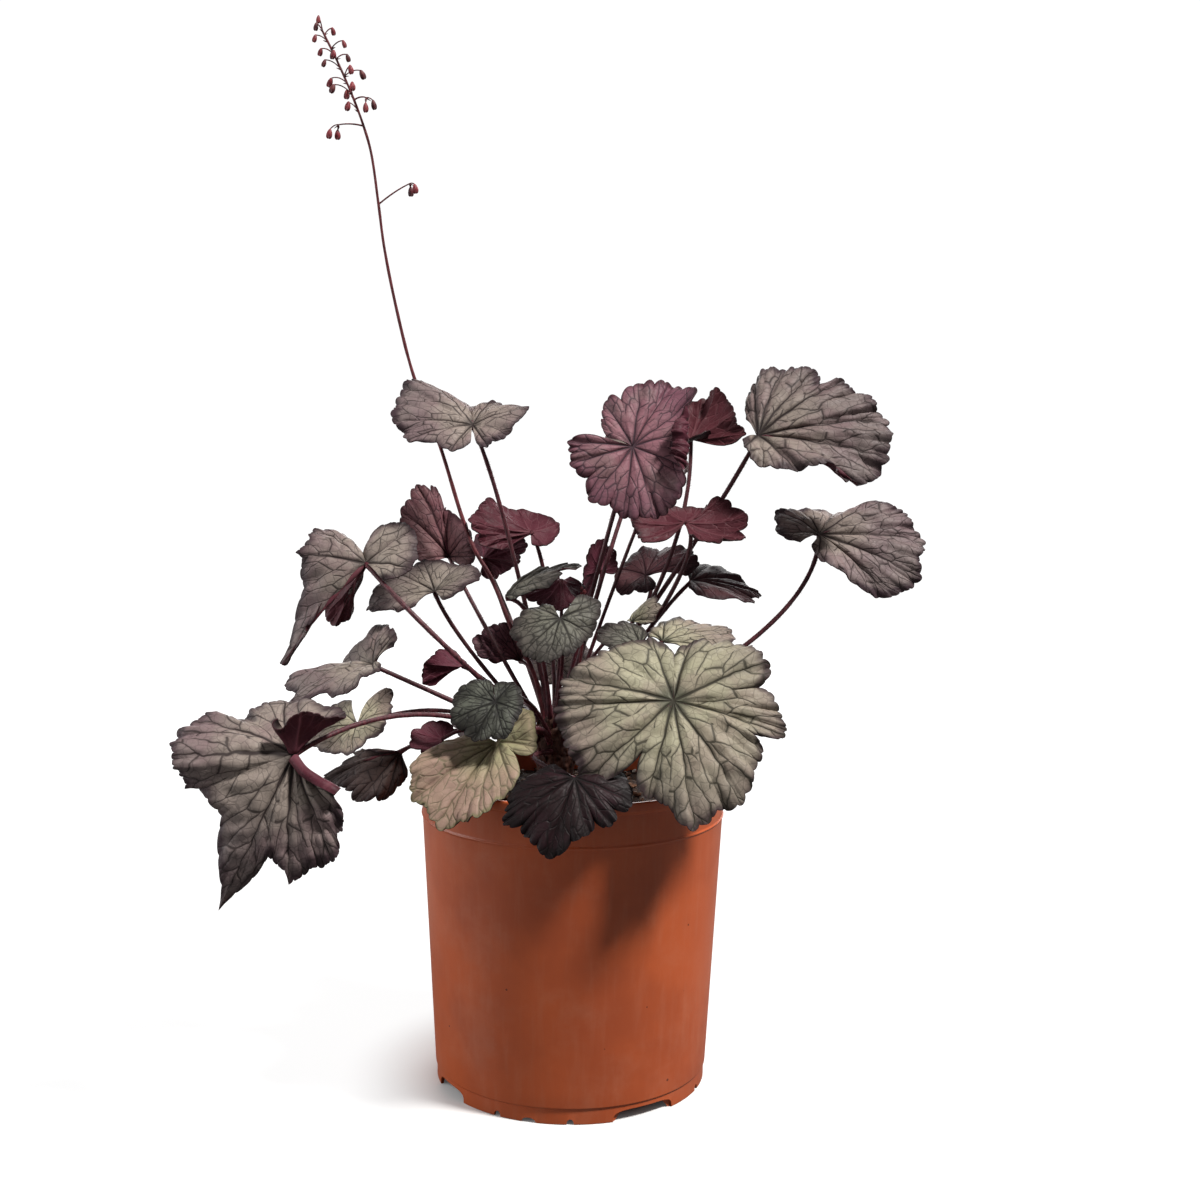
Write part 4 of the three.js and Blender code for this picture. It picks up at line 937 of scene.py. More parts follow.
@dataclass
class Leaf:
    """A lobed leaf on its stalk."""

    name: str
    plan: LeafPlan
    root: Points
    number: int
    half: float = 0.3
    bow: float = 0.07
    pleat: float = 0.010
    ruffle: float = 0.030
    frill: float = 0.016
    droop: float = 0.012
    pillow: float = 0.010
    pucker: float = 0.006
    groove: float = 0.008
    groove_width: float = 0.018
    curl_from: float = 0.5
    scallop: float = 0.014
    tooth: float = 0.022
    tooth_spacing: float = 5.4
    end_fall: float = 0.2
    hair_length: float = 1.5
    hairs_per_millimetre: float = 2.4

    def __post_init__(self) -> None:
        """Works out what follows from the tips: reaches, long tails, teeth, the grid and the stalk's radius."""
        tips = np.array(self.plan.tips, float)
        self.hub = np.array(self.plan.hub, float)
        self.lobes = len(tips)
        self.reaches = np.linalg.norm(tips, axis=1)
        self.headings = tips / self.reaches[:, None]
        self.reach = float(self.reaches.max())
        self.measure = min(self.reach, 1.2 * float(np.median(self.reaches)))
        self.major = np.array([k for k in range(self.lobes) if k not in self.plan.minor])
        self.teeth = max(2, round(float(np.linalg.norm(np.diff(tips, axis=0), axis=1).mean()) / self.tooth_spacing))
        self.rings, self.stalk_radius = (20, 1.45) if self.reach > 50 else (15, 1.3) if self.reach > 30 else (11, 1.1)
        beside = np.concatenate([self.reaches[[0]], self.reaches, self.reaches[[-1]]])
        self.tails = np.clip((self.reaches / (0.5 * (beside[:-2] + beside[2:])) - 1.2) / 0.25, 0, 1)
        self.phase = 0.37 * self.number
        self.shade = (0.618 * self.number) % 1.0
        self.roll_radius = 0.042 * self.reach

    def knots(self, values: Numbers, first: Numbers, last: Numbers, s: Numbers) -> Numbers:
        """The four knots round each place of a list with one more knot at each end.

        Args:
            values: The list, one for each vein.
            first: The knot before it.
            last: The knot after it.
            s: Places between the veins.

        Returns:
            The knots, 4 by places.
        """
        longer = np.concatenate([[first], values, [last]])
        step = np.clip(np.floor(s).astype(int), -1, self.lobes - 1)
        return np.stack([longer[np.clip(step + 1 + k, 0, self.lobes + 1)] for k in (-1, 0, 1, 2)])

    def field(self, s: Numbers) -> tuple[Points, Points, Numbers, Numbers]:
        """How the blade runs out from the hub at places s between its veins.

        The direction is the Catmull-Rom blend of the veins' unit vectors, made unit again. Beyond the
        end veins it goes on turning as between the last two: 2 (a . b) a - b.

        Args:
            s: Places, counted in veins from 0.

        Returns:
            The direction, the upper side, the reach and the curl at each place.
        """
        u, n = self.headings, self.lobes
        part = s - np.clip(np.floor(s), -1, n - 1)
        first = 2 * (u[0] @ u[1]) * u[0] - u[1]
        last = 2 * (u[-1] @ u[-2]) * u[-1] - u[-2]
        value, slope = catmull_rom(self.knots(u, first, last, s), part[:, None])
        direction = unit(value)
        up = unit(np.cross(direction, slope))
        ends = (0.8 * self.reaches[0], 0.8 * self.reaches[-1])
        reach, _ = catmull_rom(self.knots(self.reaches, *ends, s), part)
        bends = np.array(self.plan.curl or (0,) * n, float)
        curl, _ = catmull_rom(self.knots(bends, bends[0], bends[-1], s), part)
        return direction, up, reach, np.radians(np.maximum(curl, 0))

    def margin(self, s: Numbers) -> Numbers:
        """Length of the blade as a part of its reach.

        Between veins i and i + 1 the margin falls in by sinus_i (1 - |2 t - 1|)^p, where t runs from 0 to 1 and
        p is 2.2, or 0.6 beside a lobe with a long tail, and outside the end veins by end_fall (2 t)^2.2. Broad
        scallops 1 - scallop (1 - |cos 3 pi t|), small teeth 1 - tooth (1 - |cos m pi s|^0.45) and two slow
        waves are cut into that.

        Args:
            s: Places between the veins.

        Returns:
            The part at each place.
        """
        n = self.lobes
        sinuses = np.array(self.plan.sinuses or [(0.07, 0.13)[k % 2] for k in range(n - 1)])
        step = np.clip(np.floor(s).astype(int), 0, n - 2)
        t = s - step
        tail = np.maximum(self.tails[step], self.tails[step + 1])
        between = sinuses[step] * (1 - np.abs(2 * np.clip(t, 0, 1) - 1)) ** (2.2 - 1.6 * tail)
        beyond = self.end_fall * (2 * np.clip(np.maximum(-s, s - (n - 1)), 0, 0.5)) ** 2.2
        scallops = 1 - self.scallop * (1 - np.abs(np.cos(3 * math.pi * t)))
        teeth = 1 - self.tooth * (1 - np.abs(np.cos(self.teeth * math.pi * s)) ** 0.45)
        a, b = np.random.default_rng(900 + self.number).uniform(0, math.tau, 2)
        uneven = 1 - 0.012 * (1 + np.sin(5.3 * s + a)) - 0.008 * (1 + np.sin(12.7 * s + b))
        return (1 - between - beyond) * scallops * teeth * uneven

    def middle(self, s: Numbers, rho: Numbers) -> Points:
        """The blade's middle surface at parts rho of the way out, places s between the veins.

        Hub + out x length x direction + (lift x length + height x reach) x up, where the height adds up an
        arch, a fold, a wave, a frill and a droop, and a curled blade goes on round an arc from curl_from.

        Args:
            s: Places between the veins, one for each column.
            rho: Parts of the way out, one for each ring.

        Returns:
            Points, rings by columns by 3.
        """
        direction, up, reach, curl = self.field(s)
        length = reach * self.margin(s)
        rho = rho[:, None]
        spare = 1 - self.curl_from
        past = np.maximum(0, rho - self.curl_from) / spare
        angle = curl * past
        safe = np.maximum(curl, 0.05)
        curled = (curl >= 0.05) & (past > 0)
        out = np.where(curled, self.curl_from + spare * np.sin(angle) / safe, rho)
        lift = np.where(curled, spare * (1 - np.cos(angle)) / safe, 0.0)
        arch = 4 * self.bow * rho * (1 - rho)
        fold = -self.pleat * rho * np.cos(math.tau * s)
        wave = self.ruffle * rho**3 * np.sin(math.tau * (0.75 * s + self.phase))
        a, b, c = np.random.default_rng(500 + self.number).uniform(0, math.tau, 3)
        frill = self.frill * rho**4 * (np.sin(math.tau * 1.9 * s + a) + 0.7 * np.sin(math.tau * 3.1 * s + b))
        droop = self.droop * rho**2 * np.sin(math.tau * 0.4 * s + c)
        height = lift * length + (arch + fold + wave + frill + droop) * reach
        return self.hub + (out * length)[..., None] * direction + height[..., None] * up

    def nearest(self, s: Numbers) -> Indices:
        """The main vein nearest to each place s."""
        return self.major[np.argmin(np.abs(s[:, None] - self.major), axis=1)]

    def maps(self, s: Numbers, rho: Numbers) -> tuple[Numbers, Numbers, Numbers]:
        """Distances on the blade, as parts of its measure: its longest reach, but no more than a long tail allows.

        Along a vein is d cos(angle) and beside it d sin(angle), where d is the distance from the hub and
        the angle is the one between the blade's direction and the vein's.

        Args:
            s: Places between the veins.
            rho: Parts of the way out.

        Returns:
            The angle of every column to every vein, and, rings by columns, the distances from the hub and
            to the margin.
        """
        direction, _, reach, _ = self.field(s)
        length = reach * self.margin(s) / self.measure
        nearness = np.clip(direction @ self.headings.T, -1, 1)
        angles = np.arccos(nearness) * np.sign(s[:, None] - np.arange(self.lobes))
        return angles, rho[:, None] * length, (1 - rho[:, None]) * length

    def blade(self, draft: Draft) -> None:
        """Adds the blade: an upper and a lower sheet and the thin wall between them, all closed.

        The sheets are the middle surface moved to either side, with grooves over the veins and uneven
        pillows between them: pillow ease(B) - groove exp(-(B / groove_width)^2) + pucker wobble().

        Args:
            draft: What the blade is added to.
        """
        t = 0.5 * np.linspace(-1, 1, 8 * self.teeth + 1)[:-1]
        s = np.concatenate([(np.arange(self.lobes)[:, None] + t).ravel(), [self.lobes - 0.5]])
        rho = np.linspace(0, 1, self.rings + 1)[1:] ** 0.9
        centre = self.middle(s, rho)
        normal = unit(np.cross(np.gradient(centre, axis=0), np.gradient(centre, axis=1)))

        angles, distance, to_margin = self.maps(s, rho)
        own = angles[np.arange(len(s)), self.nearest(s)]
        aside = np.abs(distance * np.sin(own))
        inward = ease(to_margin, 0.0, 0.08) * ease(distance, 0.05, 0.3)
        pillow = ease(aside, 0.0, 0.09) * inward
        groove = np.exp(-((aside / self.groove_width) ** 2)) * ease(to_margin, 0.0, 0.2)
        puckers = wobble(centre, 10, 40 + self.number) * inward
        drift = (self.pillow * pillow - self.groove * groove + self.pucker * puckers) * self.reach
        keel = 0.35 + 0.55 * groove * (1 - 0.7 * distance)
        middle, normal, below_by, angles, distance, to_margin, lobe_of = self.rolled(
            centre + normal * drift[..., None], normal, self.half + 0.5 * keel * groove,
            angles, distance, to_margin, self.nearest((s[1:] + s[:-1]) / 2))
        upper = middle + normal * self.half
        lower = middle - normal * below_by[..., None]

        rings, width = distance.shape
        total = rings * width
        up = self.up = unit(normal[0].mean(axis=0))
        poles = np.stack([self.hub + up * self.half, self.hub - up * (self.half + 0.3)])
        points = np.concatenate([upper.reshape(-1, 3), lower.reshape(-1, 3), poles])
        first = np.arange(width - 1)
        fan = np.stack([np.full(width - 1, 2 * total), first, first + 1], axis=-1)
        faces = pack_faces(grid_faces(rings, width)[:, ::-1], fan)
        maps = self.corner_maps(faces, np.tile(lobe_of, 2 * rings - 1), angles, distance, to_margin)
        draft.add(points, faces, 0, maps)
        below = np.where(faces == 2 * total, 2 * total + 1, faces + total)[:, ::-1]
        draft.join(below, 1, maps[:, ::-1])

        edge = np.concatenate([
            np.arange(rings) * width, (rings - 1) * width + np.arange(1, width),
            np.arange(rings - 2, -1, -1) * width + width - 1])
        a, b = edge[:-1], edge[1:]
        wall = np.concatenate([
            np.stack([a, a + total, b + total, b], axis=-1),
            [[edge[0], 2 * total, 2 * total + 1, edge[0] + total],
             [2 * total, edge[-1], edge[-1] + total, 2 * total + 1]]])
        draft.join(wall, 1, np.broadcast_to([0.9, 0.1, 0.0, self.shade], (len(wall), 4, 4)))

    def rolled(self, middle: Points, normal: Points, below_by: Numbers, angles: Numbers, distance: Numbers,
               to_margin: Numbers, lobe_of: Indices) -> tuple[NDArray, ...]:
        """The grid with its two straight edges, beside the stalk, rolled over the upper side.

        Past the edge, columns go on as edge + r (sin q outward + (1 - cos q) up) for q up to the roll's
        angle, where the radius r grows from half at the hub to full size a third of the way out.

        Args:
            middle: The middle surface, rings by columns by 3.
            normal: Its upper side.
            below_by: How far the lower sheet lies below it.
            angles: Angle of every column to every vein.
            distance: Distance from the hub.
            to_margin: Distance to the margin.
            lobe_of: The lobe of the faces between each two columns.

        Returns:
            The same arrays, with the columns of the rolls added.
        """
        steps = np.linspace(0, 1, 9)[1:]
        count = len(steps)
        radial = unit(np.gradient(middle, axis=0))
        size = (0.55 + 0.45 * ease(distance[:, :1], 0.0, 0.33))[..., None]
        for side, roll in zip((0, -1), self.plan.rolls):
            if not roll:
                continue
            turn = (math.radians(roll) * steps)[None, :, None]
            edge, up, along = middle[:, side, None], normal[:, side, None], radial[:, side, None]
            out = unit(np.cross(along, up)) * (1 if side == 0 else -1)
            grown = edge + self.roll_radius * size * (np.sin(turn) * out + (1 - np.cos(turn)) * up)
            leaning = unit(np.cos(turn) * up - np.sin(turn) * out)
            width = middle.shape[1]
            first = side == 0
            take = np.clip(np.arange(width + count) - (count if first else 0), 0, width - 1)
            middle, normal, below_by, distance, to_margin, radial = (
                values[:, take] for values in (middle, normal, below_by, distance, to_margin, radial))
            angles, lobe_of = angles[take], lobe_of[np.clip(take[:-1], 0, width - 2)]
            new = slice(0, count) if first else slice(width, None)
            order = slice(None, None, -1 if first else 1)
            middle[:, new], normal[:, new] = grown[:, order], leaning[:, order]
        return middle, normal, below_by, angles, distance, to_margin, lobe_of

    def corner_maps(self, faces: Indices, lobes: Indices, angles: Numbers, distance: Numbers,
                    to_margin: Numbers) -> Numbers:
        """The two maps at every corner of the upper sheet.

        Args:
            faces: Triangles of the sheet.
            lobes: The lobe that each triangle is in.
            angles: Angle of every column to every vein.
            distance: Distance from the hub.
            to_margin: Distance to the margin.

        Returns:
            For every corner: A and B, the distance to the margin and the leaf's own number.
        """
        rings, width = distance.shape
        pole = faces >= rings * width
        spot = np.where(pole, 0, faces)
        ring, column = spot // width, spot % width
        angle = angles[column, lobes[:, None]]
        far = np.where(pole, 0.0, distance[ring, column])
        rest = np.where(pole, 0.9, to_margin[ring, column])
        return np.stack([far * np.cos(angle), far * np.sin(angle), rest, np.full_like(far, self.shade)], axis=-1)

    def stalk_path(self) -> Points:
        """The stalk's centreline: an arc() that passes its bend and ends just under the blade.

        Returns:
            Its places, from the root up.
        """
        start, end, bend = self.root, self.hub - 0.9 * self.up, np.array(self.plan.bend, float)
        control = 2 * bend - (start + end) / 2
        length = np.linalg.norm(bend - start) + np.linalg.norm(end - bend)
        return arc(start, control, end, max(9, int(length / 4)))

    def stalk(self, draft: Draft) -> None:
        """Adds the stalk with its hairs. It widens a little at its root and just under the blade.

        Its radius is stalk_radius (1 - 0.15 t + 0.35 (1 - ease(t, 0, 0.12)) + 0.25 ease(t, 0.94, 1)), where t
        runs from 0 at the root to 1, times 1 + 0.04 wobble().

        Args:
            draft: What the stalk is added to.
        """
        path = self.stalk_path()
        t = np.linspace(0, 1, len(path))
        radii = self.stalk_radius * (1 - 0.15 * t + 0.35 * (1 - ease(t, 0.0, 0.12)) + 0.25 * ease(t, 0.94, 1.0))
        radii = radii * (1 + 0.04 * wobble(path, 14, self.number))
        level = unit(np.cross(path[-1] - path[0], np.array([0.31, 0.84, 0.12])))
        draft.extend(tube(path, radii, 10, level, oval=1.06), 2)
        length = float(np.linalg.norm(np.diff(path, axis=0), axis=1).sum())
        count = int(self.hairs_per_millimetre * length)
        draft.extend(hairs(path, radii, count, self.hair_length, 0.07, 70 + self.number), 3)

    def build(self) -> None:
        """Builds and dresses the leaf."""
        draft = Draft()
        self.blade(draft)
        self.stalk(draft)
        finishes = [finish.material() for finish in (self.plan.look.value, UNDERSIDE, STALK, HAIR)]
        draft.piece(f"heuchera_leaf_{self.name}", finishes, self.plan.tone.value, f"leaf_{self.name}", sharp=70)


# ---- Pot, soil and crown -----------------------------------------------------------------------
@dataclass
class Pot:
    """The nursery pot: a thin tapered wall with a rim bead, a fine ridge and a foot ring with notches."""

    height: float = 172.0
    rim_radius: float = 85.0
    foot_radius: float = 74.4
    base_radius: float = 75.2
    foot_height: float = 9.0
    wall: float = 1.6
    floor_under: float = 5.5
    floor_top: float = 7.5
    ridge_height: float = 149.0
    ridge_rise: float = 0.7
    bead_height: float = 6.0
    bead_rise: float = 1.3
    sides: int = 300
    holes: int = 6
    hole_ring: float = 52.0
    hole_radius: float = 5.0
    sharp: float = 38.0
    notches: tuple[tuple[float, ...], ...] = (
        (-150, 11, 6), (-120, 1.5, 3), (-106, 3, 2.5), (-89, 1.5, 3), (-57, 14, 6), (-22, 1.5, 3),
        (10, 1.5, 3), (42, 12, 6), (78, 1.5, 3), (95, 3, 2.5), (128, 12, 6))

    def wall_radius(self, z: float) -> float:
        """Radius of the outer wall at a height: even from the base to just under the bead."""
        part = (z - self.foot_height) / (self.height - self.foot_height)
        return self.base_radius + (self.rim_radius - self.bead_rise - self.base_radius) * part

    def corner(self, before: tuple[float, float], at: tuple[float, float], after: tuple[float, float],
               size: float) -> Points:
        """A rounded corner of the profile: an arc() of 5 places.

        Args:
            before: The place before it on the profile.
            at: The corner.
            after: The place after it.
            size: How far from the corner the arc starts and ends.

        Returns:
            Points, 5 by 2.
        """
        a, b, c = (np.array(p, float) for p in (before, at, after))
        return arc(b + unit(a - b) * size, b, b + unit(c - b) * size, 5)

    def profile(self) -> Points:
        """The pot's outline, from under its floor, up outside and down inside.

        Returns:
            Radius and height of each place.
        """
        bead = self.height - self.bead_height
        inner = self.wall_radius(bead) - self.wall
        knots = [
            ((0, self.floor_under), 0.0), ((self.foot_radius - 2.6, self.floor_under), 0.6),
            ((self.foot_radius - self.wall, 0), 0.4), ((self.foot_radius, 0), 0.5),
            ((self.foot_radius, self.foot_height - 0.7), 0.3),
            ((self.base_radius, self.foot_height), 0.35),
            ((self.wall_radius(self.ridge_height - 1.0), self.ridge_height - 1.0), 0.3),
            ((self.wall_radius(self.ridge_height) + self.ridge_rise, self.ridge_height), 0.35),
            ((self.wall_radius(self.ridge_height + 1.0), self.ridge_height + 1.0), 0.3),
            ((self.wall_radius(bead), bead), 0.6),
            ((self.rim_radius, bead + 1.2), 0.6),
            ((self.rim_radius, self.height), 1.1),
            ((self.rim_radius - 2.6, self.height), 0.9),
            ((inner, bead), 1.5), ((self.base_radius - self.wall, self.floor_top), 1.5),
            ((0, self.floor_top), 0.0),
        ]
        places = [place for place, _ in knots]
        parts = [np.array([places[0]], float)]
        for index in range(1, len(knots) - 1):
            parts.append(self.corner(places[index - 1], places[index], places[index + 1], knots[index][1]))
            if index in (5, 8):
                start, end = parts[-1][-1], np.array(places[index + 1], float)
                parts.append(start + (end - start) * np.linspace(0.06, 0.94, 16 if index == 5 else 4)[:, None])
        parts.append(np.array([places[-1]], float))
        return np.concatenate(parts)

    def notch_shape(self, bearing: float, half: float, height: float) -> Surface:
        """A prism through the foot ring with an arched top: |y / width|^4 + (z / height)^4 = 1.

        Args:
            bearing: Where it is, in degrees about the pot's axis.
            half: Half its width, in degrees. A narrow one has a rounder top.
            height: Height of its top.

        Returns:
            Points and faces.
        """
        width = self.foot_radius * math.tan(math.radians(half))
        power = 0.5 if half > 5 else 0.9
        turn = np.linspace(0, math.pi, 17)
        y = width * np.sign(np.cos(turn)) * np.abs(np.cos(turn)) ** power
        z = height * np.sin(turn) ** power
        y, z = np.concatenate([y, [-width, width]]), np.concatenate([z, [-3.0, -3.0]])
        count = len(y)
        depths = (self.foot_radius - 3.6, self.foot_radius + 3)
        rings = [np.stack([np.full(count, x), y, z], axis=-1) for x in depths]
        c, s = math.cos(math.radians(bearing)), math.sin(math.radians(bearing))
        rotate = np.array([[c, -s, 0], [s, c, 0], [0, 0, 1]])
        points = np.concatenate([*rings, [[x, 0, 0] for x in depths]]) @ rotate.T
        here = np.arange(count)
        after = (here + 1) % count
        quads = grid_faces(2, count, closed=True)[:, ::-1]
        back = np.stack([np.full(count, 2 * count), after, here], axis=-1)
        front = np.stack([np.full(count, 2 * count + 1), count + here, count + after], axis=-1)
        return points, pack_faces(quads, back, front)[:, ::-1]

    def hole_shape(self, index: int) -> Surface:
        """A round plug through the floor.

        Args:
            index: Number of the hole, from 0.

        Returns:
            Points and faces.
        """
        r = self.hole_radius
        profile = np.array([[0, 0.0], [r + 0.4, 0.0], [r, 5.0], [r, 8.5], [r + 0.5, 9.5], [0, 9.5]])
        points, faces = turned(profile, 24)
        angle = math.tau * index / self.holes
        return points + np.array([self.hole_ring * math.cos(angle), self.hole_ring * math.sin(angle), 0.0]), faces

    def cutter(self) -> bpy.types.Object:
        """All the notches and holes as one closed mesh, which is cut out of the pot and not kept.

        Returns:
            Its object.
        """
        shapes = [self.notch_shape(*notch) for notch in self.notches]
        shapes += [self.hole_shape(index) for index in range(self.holes)]
        starts = np.cumsum([0] + [len(points) for points, _ in shapes])
        points = np.concatenate([points for points, _ in shapes]) * MILLIMETRE
        faces = np.concatenate([faces + start for (_, faces), start in zip(shapes, starts)])
        mesh = bpy.data.meshes.new("pot_cutter")
        mesh.from_pydata(points.tolist(), [], faces.tolist())
        mesh.update(calc_edges=True)
        return stand("pot_cutter", mesh)

    def soften(self, ring: Points, angles: Numbers) -> Points:
        """Puts the wall slightly out of round, more towards the rim.

        It goes in and out by 0.15 (sin(2 a + 1) - 1) + 0.06 (sin 5 a - 1), times the part of the height.

        Args:
            ring: Points, rings by angles by 3.
            angles: The angle of each place in a ring.

        Returns:
            The points, moved.
        """
        share = np.clip(ring[..., 2] / self.height, 0, 1)
        wave = (0.15 * (np.sin(2 * angles + 1) - 1) + 0.06 * (np.sin(5 * angles) - 1)) * share
        length = np.linalg.norm(ring[..., :2], axis=-1, keepdims=True)
        ring[..., :2] *= 1 + (wave * (length[..., 0] > 70))[..., None] / length
        return ring

    def build(self) -> None:
        """Builds and dresses the pot, and cuts its notches and holes."""
        draft = Draft()
        draft.extend(turned(self.profile(), self.sides, self.soften), 0)
        pot = draft.piece("nursery_pot", [POT_PLASTIC.material()], "pot", "pot", sharp=self.sharp)
        cutter = self.cutter()
        cut = pot.modifiers.new("cut", "BOOLEAN")
        cut.operation, cut.solver, cut.object = "DIFFERENCE", "EXACT", cutter
        ready = bpy.data.meshes.new_from_object(pot.evaluated_get(bpy.context.evaluated_depsgraph_get()))
        pot.modifiers.clear()
        pot.data = ready
        bpy.data.objects.remove(cutter)
        ready.shade_smooth()
        ready.set_sharp_from_angle(angle=math.radians(self.sharp))


@dataclass
class Soil:
    """The compost in the pot, with bark chips and grains of perlite on it."""

    pot: Pot
    crown: CrownForm
    surface: float = 157.0
    edge_drop: float = 3.0
    mound: float = 5.0
    mound_width: float = 24.0
    sides: int = 180
    rings: int = 60
    chips: int = 150
    grains: int = 46
    spread: float = 76.0

    def inner_radius(self, z: float) -> float:
        """Radius of the pot's inner wall, less a small gap: even from the pot's floor to its bead.

        Args:
            z: The height.

        Returns:
            The radius there.
        """
        bead = self.pot.height - self.pot.bead_height
        low = self.pot.base_radius - self.pot.wall
        high = self.pot.wall_radius(bead) - self.pot.wall
        return low + (high - low) * (z - self.pot.floor_top) / (bead - self.pot.floor_top) - GAP - 0.1

    def level(self, x: Numbers, y: Numbers) -> Numbers:
        """Height of the compost: a low dome, mounded at the crown, with lumps of three sizes.

        surface + 0.5 - (edge_drop + 1) f^4 + mound exp(-(d / mound_width)^2) + lumps (1 - 0.6 f^6), where f is
        the distance from the pot's axis as a part of the inner radius, and d the distance from the crown.

        Args:
            x: Places to the right of the axis.
            y: Places behind it.

        Returns:
            The height at each place.
        """
        place = np.stack([x, y, np.zeros_like(x)], axis=-1)
        far = np.hypot(x, y) / self.inner_radius(self.surface)
        near = np.hypot(x - self.crown.x, y - self.crown.y)
        lumps = 1.1 * wobble(place, 22, 1) + 0.8 * wobble(place, 9, 2) + 0.45 * wobble(place, 4, 3)
        dome = self.surface + 0.5 - (self.edge_drop + 1) * far**4
        return dome + self.mound * np.exp(-((near / self.mound_width) ** 2)) + lumps * (1 - 0.6 * far**6)

    def lay(self, ring: Points, angles: Numbers) -> Points:
        """Puts all but the lowest ring at the compost's own level, and the next one 0.6 below it.

        Args:
            ring: Points, rings by angles by 3.
            angles: The angle of each place in a ring. Not used.

        Returns:
            The points, moved.
        """
        ring[1:, :, 2] = self.level(ring[1:, :, 0], ring[1:, :, 1])
        ring[1, :, 2] -= 0.6
        return ring

    def build(self) -> None:
        """Builds and dresses the compost, the chips and the grains."""
        edge = self.surface - self.edge_drop
        bottom = self.pot.floor_top + GAP
        radii = np.concatenate([
            [0.0, self.inner_radius(bottom), self.inner_radius(edge)],
            self.inner_radius(edge) * np.linspace(0.985, 0.02, self.rings), [0.0]])
        heights = np.concatenate([[bottom, bottom, edge - 1.0], np.full(self.rings + 1, self.surface)])
        points, faces = turned(np.stack([radii, heights], axis=-1), self.sides, self.lay)
        points[-1, 2] = self.level(np.array([0.0]), np.array([0.0]))[0]
        draft = Draft()
        draft.add(points, faces, 0)
        draft.piece("compost", [COMPOST.material()], "soil", "soil")
        self.scatter("bark_chips", BARK_CHIP, self.chips, (2.4, 1.3, 0.8), 6)
        self.scatter("perlite_grains", PERLITE, self.grains, (1.2, 1.0, 0.8), 9)

    def scatter(self, name: str, finish: Finish, count: int, size: Place, seed: int) -> None:
        """Lumps that lie about on the compost: spheres of 4 by 6 faces, stretched, dented and turned at random.

        Args:
            name: Name of the piece.
            finish: Its finish.
            count: Number of lumps.
            size: Their mean half sizes.
            seed: Seed of the draws.
        """
        draw = np.random.default_rng(seed)
        theta = np.linspace(0, math.pi, 5)
        profile = np.stack([np.sin(theta), -np.cos(theta)], axis=-1)
        profile[[0, -1], 0] = 0
        ball, faces = turned(profile, 6)
        radius = self.spread * np.sqrt(draw.uniform(0.02, 1.0, count))
        angle = draw.uniform(0, math.tau, count)
        x, y = radius * np.cos(angle), radius * np.sin(angle)
        scale = np.array(size) * draw.uniform(0.6, 1.5, (count, 1)) * draw.uniform(0.75, 1.25, (count, 3))
        lumps = ball[None] * scale[:, None] * draw.uniform(0.8, 1.2, (count, len(ball), 1))
        turn, tilt = draw.uniform(0, math.tau, count), draw.normal(0, 0.35, count)
        c, s, ct, st = np.cos(turn), np.sin(turn), np.cos(tilt), np.sin(tilt)
        about = np.array([[c, -s * ct, s * st], [s, c * ct, -c * st], [np.zeros(count), st, ct]]).transpose(2, 0, 1)
        lumps = np.einsum("kij,kpj->kpi", about, lumps)
        lumps += np.stack([x, y, self.level(x, y) + 0.3 * scale[:, 2]], axis=-1)[:, None]
        all_faces = (faces[None] + (np.arange(count) * len(ball))[:, None, None]).reshape(-1, 3)
        draft = Draft()
        draft.add(lumps.reshape(-1, 3), all_faces, 0)
        draft.piece(name, [finish.material()], "soil", "soil", sharp=30)


@dataclass
class Crown:
    """The knobbly crown with the dry bases of old stalks on it."""

    form: CrownForm
    sides: int = 96
    rings: int = 40
    scales: int = 60
    skin: float = 1.2

    def dent(self, ring: Points, angles: Numbers) -> Points:
        """Moves the surface out by a fourteenth of 0.7 knobs and 0.35 creases, times the radius.

        Args:
            ring: Points, rings by angles by 3.
            angles: The angle of each place in a ring. Not used.

        Returns:
            The points, moved.
        """
        place = ring - self.form.middle * UP
        knobs = 0.7 * wobble(place, 9, 21) + 0.35 * wobble(place, 3.5, 22)
        ring[..., :2] *= (1 + np.clip(knobs, -1.5, 1.1) / 14)[..., None]
        return ring

    def build(self) -> None:
        """Builds and dresses the crown.

        A turned solid whose radius is sqrt(1 - h^2) on the dome and even below it, less dents from
        wobble(), and short papery scales that lean outwards from it.
        """
        f = self.form
        up = np.linspace(-0.5, 1, self.rings)
        wide = (f.radius - self.skin) * np.sqrt(np.maximum(1 - up**2, 0.0))
        dome = np.stack([wide, f.middle + (f.rise - self.skin) * up], axis=-1)
        neck = [[0, f.foot], [f.neck, f.foot], [f.neck, f.middle - f.rise]]
        points, faces = turned(np.concatenate([neck, dome[:-1], [[0, dome[-1, 1]]]]), self.sides, self.dent)
        draft = Draft()
        draft.add(points + np.array([f.x, f.y, 0]), faces, 0)
        draw = np.random.default_rng(31)
        turn = draw.uniform(0, math.tau, self.scales)
        rise = draw.uniform(-0.35, 0.75, self.scales)
        flat = np.stack([np.cos(turn), np.sin(turn), np.zeros_like(turn)], axis=-1)
        roots = f.centre + flat * ((f.radius - 1.6) * np.sqrt(1 - rise**2))[:, None]
        roots[:, 2] += (f.rise - 1.6) * rise
        steps = np.linspace(0, 1, 6)[:, None]
        widths = np.array([1, 1.1, 1.0, 0.8, 0.5, 0.2])
        for root, way, size in zip(roots, flat, draw.uniform(0.7, 1.2, self.scales)):
            path = root + steps * (way * 2.2 + 5.5 * UP) * size
            path[:, :2] -= way[:2] * steps**2 * 1.2
            draft.extend(tube(path, 1.5 * size * widths, 6, np.cross(way, UP), 0.4), 0)
        draft.piece("heuchera_crown", [CROWN_BARK.material()], "crown", "crown")


